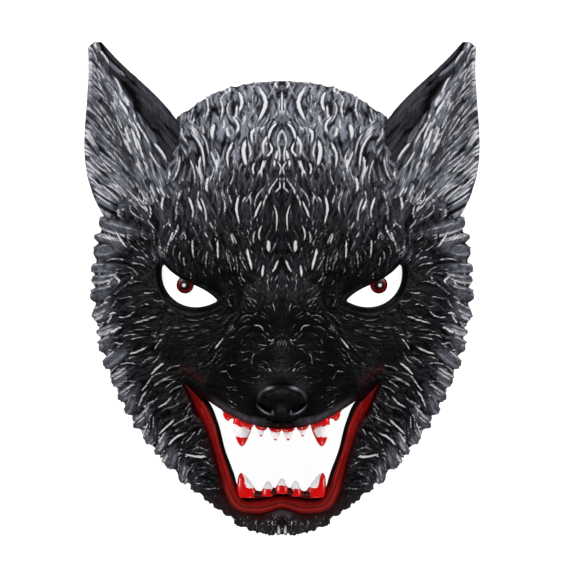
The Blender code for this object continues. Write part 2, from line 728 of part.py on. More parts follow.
def gum(upper, material):
    """The strip of gum behind a lip, which carries the teeth."""
    line = gum_line(upper, 17)
    rings = []
    for x, y in line:
        top = float(gum_level(x, y))
        half, edge, low = GUM_HEIGHT / 2, top - GUM_ROUNDING, top - GUM_DEPTH
        front = [(x, y - half, edge), (x, y, top), (x, y + half, edge)]
        rings.append(front + [(x, y + half, low), (x, y - half, low)])
    return lofted("upper_gum" if upper else "lower_gum", rings, material)


def tooth(name, x, length, width, lean, upper, material):
    """A tooth on a gum: oval at the root, rounded at the tip and curved a little inwards."""
    line = gum_line(upper, 40)
    point = -1 if upper else 1
    turn = np.linspace(0, 2 * math.pi, 8, endpoint=False)
    root_x = x + np.cos(turn) * width / 2
    root_y = np.interp(root_x, line[:, 0], line[:, 1]) + point * (GUM_HEIGHT / 2 + SEAT_GAP)
    tip_y = np.interp(x, line[:, 0], line[:, 1]) + point * (GUM_HEIGHT / 2 + length)
    level = float(gum_level(x, root_y.mean())) - TOOTH_DEPTH / 2 - TOOTH_SET_BACK
    rings = []
    for share, size in ((0.0, 1.0), (0.42, 0.90), (0.78, 0.50), (1.0, 0.14)):
        lean_x = math.copysign(1, x) * math.tan(math.radians(lean)) * length * share
        ring_y = root_y + (tip_y - root_y) * share
        level_here = level - 0.10 * length * share**2
        ring_z = level_here + np.sin(turn) * TOOTH_DEPTH / 2 * size
        rings.append(np.column_stack([x + lean_x + (root_x - x) * size, ring_y, ring_z]))
    return lofted(name, rings, material)


def teeth(material):
    """Each tooth of both tables, and its twin on the other side."""
    for upper, rows in ((True, UPPER_TEETH), (False, LOWER_TEETH)):
        for name, across, length, width, lean in rows:
            for side in (1, -1) if across else (1,):
                full_name = f"{side_name(side)}_{name}" if across else name
                x = side * across * GAPE_WIDTH / 2
                tooth(full_name, x, length * TOOTH_LENGTH, width * TOOTH_WIDTH, lean, upper, material)


LOW = WALL / 3  # just above the rim
HIGH = FACE_DEPTH + MUZZLE_RISE + JAW_RISE + NOSE_RISE  # above every piece


def main():
    for thing in list(bpy.data.objects):
        bpy.data.objects.remove(thing)
    fur_black = finish_material("black_fur", (0.03, 0.03, 0.035), 0.45)
    nose_black = finish_material("nose_black", (0.012, 0.012, 0.014), 0.25)
    eye_white = finish_material("eye_white", (0.9, 0.9, 0.89), 0.2)
    iris_red = finish_material("iris_red", (0.28, 0.005, 0.005), 0.15)
    lip_red = finish_material("lip_red", (0.25, 0.008, 0.008), 0.35)
    gum_red = finish_material("gum_red", (0.45, 0.003, 0.003), 0.3)
    tooth_white = finish_material("tooth_white", (0.85, 0.82, 0.82), 0.25)

    shell = face_shell(fur_black)
    combine(shell, prism("gape_cutter", gape_outline(), LOW, HIGH))
    combine(shell, prism("nose_cutter", nose_outline(), LOW, HIGH))
    for side in (1, -1):
        combine(shell, prism(f"eye_cutter_{side}", eye_outline(side), LOW, HIGH))

    seat = closed_face("ear_seat", SEAT_GAP)
    for side in (1, -1):
        combine(ear(side, fur_black), seat)
        eye(side, eye_white)
        iris(side, iris_red)
    nose(nose_black)
    lips(lip_red)
    gum(True, gum_red)
    gum(False, gum_red)
    teeth(tooth_white)


main()
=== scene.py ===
import math

import bpy
import numpy as np
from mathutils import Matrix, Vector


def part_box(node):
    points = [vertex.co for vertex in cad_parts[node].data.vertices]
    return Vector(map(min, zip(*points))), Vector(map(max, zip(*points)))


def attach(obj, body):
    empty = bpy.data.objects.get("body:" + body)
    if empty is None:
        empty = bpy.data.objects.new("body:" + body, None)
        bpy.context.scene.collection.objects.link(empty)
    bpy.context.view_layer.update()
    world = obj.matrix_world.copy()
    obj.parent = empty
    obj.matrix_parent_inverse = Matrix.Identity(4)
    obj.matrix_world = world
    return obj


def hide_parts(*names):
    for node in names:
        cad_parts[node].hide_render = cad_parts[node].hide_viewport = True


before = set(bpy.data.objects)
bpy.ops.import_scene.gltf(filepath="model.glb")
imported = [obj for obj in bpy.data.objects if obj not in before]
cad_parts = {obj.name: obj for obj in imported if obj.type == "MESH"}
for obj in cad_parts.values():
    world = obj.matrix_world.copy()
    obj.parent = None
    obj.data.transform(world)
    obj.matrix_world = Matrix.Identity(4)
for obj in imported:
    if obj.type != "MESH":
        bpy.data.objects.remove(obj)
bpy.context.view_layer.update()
metre = 0.001
rng = np.random.default_rng(11)


def boxOf(node):
    low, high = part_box(node)
    return np.array(low) / metre, np.array(high) / metre


# the head's form, the same as the moulded shell's
head = {
    "rimTips": 3.4,  # how far the tips of the rim's fur stand out of the head
    "faceShare": 0.534,  # height of the general face, a share of the nose's
    "muzzleShare": 0.429,  # rise of the muzzle over the face, likewise
    "jawShare": 0.286,
    "centreUp": -0.16,  # where the rings of the face are centred, share of half the height
    "domeRound": 2.7,
    "domeEdge": 0.60,
    "wall": 3.0,
}
halfWidth = boxOf("face_shell")[1][0] - head["rimTips"]
halfHeight = boxOf("right_ear")[1][1]
noseTop = boxOf("nose")[1][2]
faceDepth = head["faceShare"] * noseTop
muzzleRise = head["muzzleShare"] * noseTop
jawRise = head["jawShare"] * noseTop
centreY = head["centreUp"] * halfHeight

# across as a share of half the head's width, up as a share of half its height
headEdge = (
    ("crown", 0.000, 0.842),
    ("crown side", 0.260, 0.822),
    ("crown shoulder", 0.475, 0.745),
    ("ear front", 0.670, 0.620),
    ("ear back", 0.845, 0.465),
    ("temple", 0.960, 0.260),
    ("upper cheek", 1.000, 0.070),
    ("cheek", 0.985, -0.120),
    ("lower cheek", 0.925, -0.310),
    ("jowl", 0.795, -0.515),
    ("jaw corner", 0.600, -0.700),
    ("jaw", 0.365, -0.860),
    ("chin side", 0.180, -0.950),
    ("chin", 0.000, -0.978),
)
# across, up, half across, half up, turn in degrees, rise as a share of the face's depth
faceForms = (
    ("brow", 0.43, 0.150, 0.36, 0.085, 24.0, 0.17),
    ("eye socket", 0.50, 0.000, 0.26, 0.150, 24.0, -0.15),
    ("lower lid", 0.56, -0.095, 0.24, 0.055, 18.0, 0.05),
    ("cheek bone", 0.62, -0.180, 0.28, 0.120, 20.0, 0.08),
    ("cheek ruff", 0.82, -0.200, 0.20, 0.360, -12.0, 0.13),
    ("jowl", 0.62, -0.530, 0.25, 0.220, -40.0, 0.12),
    ("ear root", 0.66, 0.480, 0.30, 0.200, -40.0, 0.10),
    ("forehead", 0.00, 0.420, 0.40, 0.320, 0.0, 0.06),
    ("brow furrow", 0.00, 0.080, 0.13, 0.170, 0.0, -0.08),
)
# up, rise as a share of the muzzle's or jaw's, half width as a share of half the head's
muzzleRows = (
    ("between brows", 0.080, 0.00, 0.17),
    ("bridge", -0.080, 0.27, 0.24),
    ("middle", -0.220, 0.66, 0.33),
    ("behind nose", -0.350, 0.93, 0.40),
    ("nose tip", -0.450, 1.00, 0.43),
    ("upper lip", -0.560, 0.84, 0.47),
    ("under lip", -0.680, 0.34, 0.48),
    ("gape", -0.820, 0.00, 0.46),
)
jawRows = (
    ("corners", -0.50, 0.00, 0.66),
    ("teeth", -0.68, 0.38, 0.66),
    ("lower lip", -0.85, 1.00, 0.62),
    ("chin", -0.93, 0.95, 0.54),
    ("under chin", -1.00, 0.55, 0.44),
)


# values on a smooth curve through stations, each piece a cubic with shared slopes
def smoothThrough(at, stations, values):
    stations, values = np.asarray(stations, float), np.asarray(values, float)
    if stations[0] > stations[-1]:
        stations, values = stations[::-1], values[::-1]
    slopes = np.gradient(values, stations)
    at = np.clip(at, stations[0], stations[-1])
    k = np.clip(np.searchsorted(stations, at) - 1, 0, len(stations) - 2)
    span = stations[k + 1] - stations[k]
    t = (at - stations[k]) / span
    return (
        values[k] * (1 + 2 * t) * (1 - t) ** 2
        + slopes[k] * span * t * (1 - t) ** 2
        + values[k + 1] * t * t * (3 - 2 * t)
        - slopes[k + 1] * span * t * t * (1 - t)
    )


# count points evenly spaced along a smooth curve through the given ones
def alongCurve(points, count, closed=False):
    points = np.asarray(points, float)
    if closed:
        points = np.vstack([points[-2:], points, points[:3]])
    length = np.concatenate([[0], np.cumsum(np.linalg.norm(np.diff(points, axis=0), axis=1))])
    first, last = (length[2], length[-3]) if closed else (0, length[-1])
    at = np.linspace(first, last, count, endpoint=not closed)
    return np.stack([smoothThrough(at, length, column) for column in points.T], axis=1)


# a path from the -X side to the +X side, from the points of its +X half, outermost first
def mirroredPath(half):
    half = np.asarray(half, float)
    other = half[:-1] * np.where(np.arange(half.shape[1]) == 0, -1, 1)
    return np.vstack([other, half[::-1]])


def headOutline(count):
    half = [(halfWidth * across, halfHeight * up) for _, across, up in headEdge]
    other = [(-x, y) for x, y in reversed(half[1:-1])]
    return alongCurve(half + other, count, closed=True)


denseEdge = headOutline(1440)
edgeBearing = np.arctan2(denseEdge[:, 0], denseEdge[:, 1] - centreY)
edgeRadius = np.hypot(denseEdge[:, 0], denseEdge[:, 1] - centreY)


# how far a point lies on the way from the centre, 0, to the rim, 1
def reach(x, y):
    radius = np.interp(np.arctan2(x, y - centreY), edgeBearing, edgeRadius, period=2 * math.pi)
    return np.hypot(x, y - centreY) / radius


# a ridge on the middle line: rise(y) times (1 - |x / half(y)|^flatness)^1.4
def loftedRise(x, y, rows, flatness):
    up = [row[1] * halfHeight for row in rows]
    rise = smoothThrough(y, up, [row[2] for row in rows])
    half = smoothThrough(y, up, [row[3] * halfWidth for row in rows])
    inside = (y <= max(up)) & (y >= min(up))
    across = np.clip(1 - np.abs(x / half) ** flatness, 0, 1) ** 1.4
    return np.where(inside, np.maximum(rise, 0), 0) * across


# an oval hill, (1 - along^2 - over^2)^2, on both sides of the middle line
def hill(x, y, across, up, halfAcross, halfUp, turn):
    cos, sin = math.cos(math.radians(turn)), math.sin(math.radians(turn))
    total = 0
    for side in (1, -1) if across else (1,):
        dx, dy = side * x / halfWidth - across, (y / halfHeight - up) * halfHeight / halfWidth
        along, over = dx * cos + dy * sin, dy * cos - dx * sin
        tall = halfUp * halfHeight / halfWidth
        total = total + np.clip(1 - (along / halfAcross) ** 2 - (over / tall) ** 2, 0, 1) ** 2
    return total


# the smooth face: a dome depth * (1 - reach^2.7)^0.6, plus muzzle, jaw and the hills
def faceHeight(x, y):
    x, y = np.asarray(x, float), np.asarray(y, float)
    far = np.clip(reach(x, y), 0, 1)
    height = faceDepth * (1 - far ** head["domeRound"]) ** head["domeEdge"]
    rise = muzzleRise * loftedRise(x, y, muzzleRows, 2)
    rise = rise + jawRise * loftedRise(x, y, jawRows, 3.5)
    for _, across, up, halfAcross, halfUp, turn, share in faceForms:
        rise = rise + share * faceDepth * hill(x, y, across, up, halfAcross, halfUp, turn)
    return height + rise * (1 - far**20)


def softStep(value, start, end):
    t = np.clip((value - start) / (end - start), 0, 1)
    return t * t * (3 - 2 * t)


def bump(value, middle, width):
    return np.exp(-(((value - middle) / width) ** 2))


# openings of the eyes and the mouth
eyes = {
    "across": 0.490,  # middle of the eye, share of half the head's width
    "up": 0.018,
    "width": 31.0,
    "height": 24.5,
    "recess": 1.2,
    "bulge": 3.5,
    "irisAcross": 0.100,
    "irisUp": 0.015,
    "irisRadius": 4.8,
}
# across and up, as shares of the eye's width and height from its middle
eyeLower = ((0.485, 0.500), (0.630, -0.185), (0.095, -0.755), (-0.480, -0.340))
eyeUpper = ((-0.480, -0.340), (-0.190, 0.065), (0.160, -0.020), (0.485, 0.500))
eyeX, eyeY = eyes["across"] * halfWidth, eyes["up"] * halfHeight


# points on a cubic curve over four control points
def cubic(controls, count):
    control = np.array(controls) * (eyes["width"], eyes["height"]) + (eyeX, eyeY)
    t = np.linspace(0, 1, count, endpoint=False)[:, None]
    weights = ((1 - t) ** 3, 3 * t * (1 - t) ** 2, 3 * t * t * (1 - t), t**3)
    return sum(w * p for w, p in zip(weights, control))


eyeLoop = np.vstack([cubic(eyeLower, 72), cubic(eyeUpper, 48)])

mouth = {
    "across": 0.5245,  # corner to corner, share of the head's width
    "down": 0.2684,  # corner to the lowest place, share of the mask's height
    "cornerUp": -0.372,
}
gapeHalf = mouth["across"] * halfWidth
gapeTall = mouth["down"] * 2 * halfHeight
# the lips' outer edge and inner edge: across, down, across, down, as shares of the gape
lipRows = (
    ("corner", 0.998, 0.008, 0.985, 0.010),
    ("fold", 0.935, 0.108, 0.860, 0.080),
    ("upper side", 0.871, 0.218, 0.745, 0.148),
    ("side top", 0.781, 0.334, 0.652, 0.300),
    ("side", 0.695, 0.521, 0.579, 0.505),
    ("lower side", 0.626, 0.711, 0.488, 0.688),
    ("bend side", 0.585, 0.833, 0.445, 0.795),
    ("bend", 0.492, 0.949, 0.378, 0.863),
    ("bottom", 0.243, 0.985, 0.243, 0.870),
    ("middle", 0.000, 0.941, 0.000, 0.840),
)
upperRows = (
    ("corner", 1.000, 0.000),
    ("fold", 0.710, 0.159),
    ("side", 0.555, 0.226),
    ("front side", 0.330, 0.300),
    ("front", 0.000, 0.334),
)


def mouthPoint(across, down):
    return (across * gapeHalf, mouth["cornerUp"] * halfHeight - down * gapeTall)


def lipEdges(count):
    half = [(*mouthPoint(a, b), *mouthPoint(c, d)) for _, a, b, c, d in lipRows]
    path = mirroredPath(half)
    path[: len(lipRows) - 1, 2] *= -1
    line = alongCurve(path, count)
    return line[:, :2], line[:, 2:]


def upperEdge(count):
    return alongCurve(mirroredPath([mouthPoint(a, d) for _, a, d in upperRows]), count)


mouthLoop = np.vstack([lipEdges(150)[0], upperEdge(110)[::-1][1:-1]])


# signed distance to a closed loop, negative inside, with the nearest point on it
def loopDistance(x, y, loop, margin=12.0):
    distance = np.full(x.shape, margin)
    nearest = np.stack([x, y], axis=-1)
    low, high = loop.min(0) - margin, loop.max(0) + margin
    close = (x > low[0]) & (x < high[0]) & (y > low[1]) & (y < high[1])
    point = nearest[close][:, None, :]
    start, leg = loop[None], np.roll(loop, -1, axis=0)[None] - loop[None]
    t = np.clip(((point - start) * leg).sum(-1) / (leg**2).sum(-1), 0, 1)
    foot = start + t[..., None] * leg
    gap = np.linalg.norm(point - foot, axis=-1)
    best = gap.argmin(axis=1)
    rows = np.arange(len(best))
    above = (loop[None, :, 1] > point[..., 1]) != (np.roll(loop, -1, 0)[None, :, 1] > point[..., 1])
    rise = np.where(np.abs(leg[..., 1]) < 1e-9, 1e-9, leg[..., 1])
    crossing = start[..., 0] + (point[..., 1] - start[..., 1]) * leg[..., 0] / rise
    inside = (above & (point[..., 0] < crossing)).sum(axis=1) % 2 == 1
    distance[close] = np.where(inside, -1, 1) * gap[rows, best]
    nearest[close] = foot[rows, best]
    return np.minimum(distance, margin), nearest


# the face's grid: columns round the head, rings from the bridge of the nose to the rim
faceGrid = {
    "columns": 1200,
    "rings": 268,
    "lift": 1.0,  # scale of all the cast relief
    "holeWall": 3.0,  # depth of the walls of the openings
    "holeBand": 0.6,  # grid inside an opening that becomes its wall
    "innerColumns": 200,
}
columns, rings = faceGrid["columns"], faceGrid["rings"]
edgeLoop = headOutline(columns)
denseShare = 1 - (1 - np.linspace(0, 1, 1200)) ** 2
sampleLoop = headOutline(48)
sampleXy = np.array([0, centreY]) + denseShare[:, None, None] * (sampleLoop - (0, centreY))
sampleZ = faceHeight(sampleXy[..., 0], sampleXy[..., 1])
sampleLeg = np.sqrt((np.diff(sampleXy, axis=0) ** 2).sum(-1) + np.diff(sampleZ, axis=0) ** 2)
meanLength = np.concatenate([[0], np.cumsum(sampleLeg.mean(axis=1))])
shares = np.interp(np.linspace(0, meanLength[-1], rings + 1)[1:], meanLength, denseShare)
shares[-1] = 1.0
gridXy = np.array([0, centreY]) + shares[:, None, None] * (edgeLoop - (0, centreY))
gridX, gridY = gridXy[..., 0], gridXy[..., 1]
print("grid laid out")

eyeGap, eyeFoot = loopDistance(np.abs(gridX), gridY, eyeLoop, 14.0)
mouthGap, mouthFoot = loopDistance(gridX, gridY, mouthLoop, 14.0)
print("openings measured")


# 1 over the eye, 0 under it
def aboveEye(x, y):
    return softStep((y - eyeY) * 0.824 - (np.abs(x) - eyeX) * 0.566, -2.5, 3.0)


# the skin under the fur: the smooth face, then lids as rings round the eye, a heavy brow,
# the rolled edge of the upper lip, a groove under the nose and the pads of the muzzle
def skinRise(x, y, eyeAway, mouthAway):
    over = aboveEye(x, y)
    out = np.maximum(eyeAway, 0)
    lower = 0.8 * bump(out, 1.0, 0.8) - 0.5 * bump(out, 2.6, 0.6) + 0.6 * bump(out, 3.9, 0.7)
    lower = lower - 0.5 * bump(out, 5.4, 0.6) + 0.5 * bump(out, 6.6, 0.8)
    upper = 0.9 * bump(out, 1.0, 0.9) - 0.3 * bump(out, 2.6, 0.7) + 1.6 * bump(out, 7.0, 3.6)
    rise = lower * (1 - over) + upper * over
    edge = np.maximum(mouthAway, 0)
    rise = rise + 0.7 * bump(edge, 1.8, 1.6) - 0.5 * bump(edge, 4.8, 0.9)
    groove = bump(x, 0, 1.0) * softStep(y, -80, -74) * (1 - softStep(y, -72, -67))
    rise = rise - 1.2 * groove
    rise = rise + 2.2 * hill(x, y, 0.20, -0.40, 0.17, 0.13, 20)
    rise = rise + 1.4 * hill(x, y, 0.17, -0.20, 0.10, 0.10, 50)
    rise = rise - 1.2 * hill(x, y, 0.33, -0.29, 0.12, 0.16, -30)
    rise = rise + 1.6 * hill(x, y, 0.24, 0.15, 0.16, 0.09, 30)
    return rise * softStep(1 - reach(x, y), 0.0, 0.05)


gridZ = faceHeight(gridX, gridY) + skinRise(gridX, gridY, eyeGap, mouthGap)
gridZ[-1] = 0
skin = np.stack([gridX, gridY, gridZ], axis=-1)
pole = np.array([0, centreY, float(faceHeight(0.0, centreY))])
legs = np.linalg.norm(np.diff(np.concatenate([np.broadcast_to(pole, (1, columns, 3)), skin]), axis=0), axis=-1)
runLength = np.cumsum(legs, axis=0)  # length over the skin from the bridge of the nose
runTurn = np.arctan2(gridX, gridY - centreY)
peltU, peltV = runLength * np.sin(runTurn), runLength * np.cos(runTurn)

# outward normals of the skin, from its slopes along and across the grid
alongRings = np.gradient(skin, axis=0)
alongColumns = (np.roll(skin, -1, axis=1) - np.roll(skin, 1, axis=1)) / 2
skinNormal = np.cross(alongColumns, alongRings)
skinNormal /= np.maximum(np.linalg.norm(skinNormal, axis=-1, keepdims=True), 1e-9)
skinNormal *= np.sign(skinNormal[60:61, :, 2:3].mean())
skinNormal[-1, :, 2] = 0
skinNormal[-1] /= np.linalg.norm(skinNormal[-1], axis=-1, keepdims=True)


# the pelt: strokes of fur laid on the unrolled skin
# a place on the face from the front, as a place on the pelt
def onPelt(x, y):
    turn = np.arctan2(x, y - centreY)
    column = np.interp(turn % (2 * math.pi), runTurn[-1] % (2 * math.pi), np.arange(columns))
    near = np.round(column).astype(int) % columns
    far = reach(x, y)
    ring = np.interp(far, np.concatenate([[0], shares]), np.arange(rings + 1)) - 1
    low = np.clip(ring.astype(int), 0, rings - 2)
    t = np.clip(ring - low, 0, 1)
    length = runLength[low, near] * (1 - t) + runLength[low + 1, near] * t
    length = np.where(ring < 0, runLength[0, near] * (ring + 1), length)
    return np.stack([length * np.sin(turn), length * np.cos(turn)], axis=-1)


# a place on the pelt, as a place on the face from the front
def fromPelt(u, v):
    turn, length = np.arctan2(u, v), np.hypot(u, v)
    near = np.round(np.interp(turn % (2 * math.pi), runTurn[-1] % (2 * math.pi), np.arange(columns)))
    near = near.astype(int) % columns
    ring = np.clip((runLength[:, near] < length).sum(axis=0), 0, rings - 1)
    return gridX[ring, near], gridY[ring, near], length > runLength[-1, near]


# The coat, zone by zone. Middle and size of the zone from the front; length, width and height
# of a stroke; how much blue-grey it takes; the share of strokes with a silver streak; height of
# the broad locks under them.
coat = (
    ("crown middle", 0, 102, 30, 20, 19, 3.4, 1.2, 1.20, 0.38, 1.0),
    ("crown side", 48, 94, 26, 20, 18, 3.4, 1.3, 1.42, 0.48, 1.4),
    ("forehead", 0, 62, 36, 18, 16, 2.3, 1.2, 0.15, 0.42, 0.9),
    ("temple", 66, 66, 24, 22, 16, 2.7, 1.2, 0.34, 0.42, 1.3),
    ("brow", 26, 27, 28, 13, 11, 1.8, 1.0, 0.030, 0.46, 0.5),
    ("outer brow", 64, 30, 16, 14, 12, 1.9, 1.0, 0.12, 0.38, 0.7),
    ("frown", 0, 14, 12, 15, 9, 1.8, 1.0, 0.12, 0.52, 0.3),
    ("round the eye", 50, -2, 22, 15, 6, 1.4, 0.3, 0.02, 0.05, 0.0),
    ("inner cheek", 46, -38, 20, 20, 12, 1.7, 0.7, 0.03, 0.08, 0.4),
    ("cheek", 77, -8, 13, 30, 18, 2.2, 1.3, 0.07, 0.36, 1.3),
    ("cheek rim", 100, -5, 9, 46, 14, 3.0, 0.9, 0.60, 0.45, 1.2),
    ("lower cheek", 66, -62, 15, 18, 20, 2.6, 1.5, 0.06, 0.50, 1.8),
    ("lower rim", 86, -72, 12, 22, 15, 3.0, 0.9, 0.55, 0.40, 1.2),
    ("jaw", 46, -92, 12, 14, 13, 2.0, 1.0, 0.05, 0.36, 1.2),
    ("jaw rim", 60, -101, 12, 8, 12, 2.4, 0.9, 0.50, 0.40, 1.0),
    ("under jaw", 40, -118, 16, 8, 10, 2.0, 0.9, 0.03, 0.12, 1.0),
    ("chin", 0, -127, 20, 8, 6, 1.8, 1.0, 0.10, 0.50, 1.8),
    ("bridge", 0, -20, 14, 18, 8, 1.2, 0.40, 0.004, 0.12, 0.0),
    ("muzzle", 24, -44, 18, 20, 10, 1.3, 0.45, 0.020, 0.16, 0.0),
    ("round the nose", 0, -50, 13, 12, 5, 1.0, 0.30, 0.010, 0.10, 0.0),
)
coatAt = np.array([row[1:5] for row in coat], float)
coatValues = np.array([row[5:] for row in coat], float)


# each value at a place: the zones' values, weighed by how near the zones are
def coatHere(x, y):
    far = ((np.abs(x)[..., None] - coatAt[:, 0]) / coatAt[:, 2]) ** 2
    far = far + ((y[..., None] - coatAt[:, 1]) / coatAt[:, 3]) ** 2
    weight = np.exp(-far) + 1e-6 / (1 + far) ** 2
    return (weight / weight.sum(-1, keepdims=True)) @ coatValues


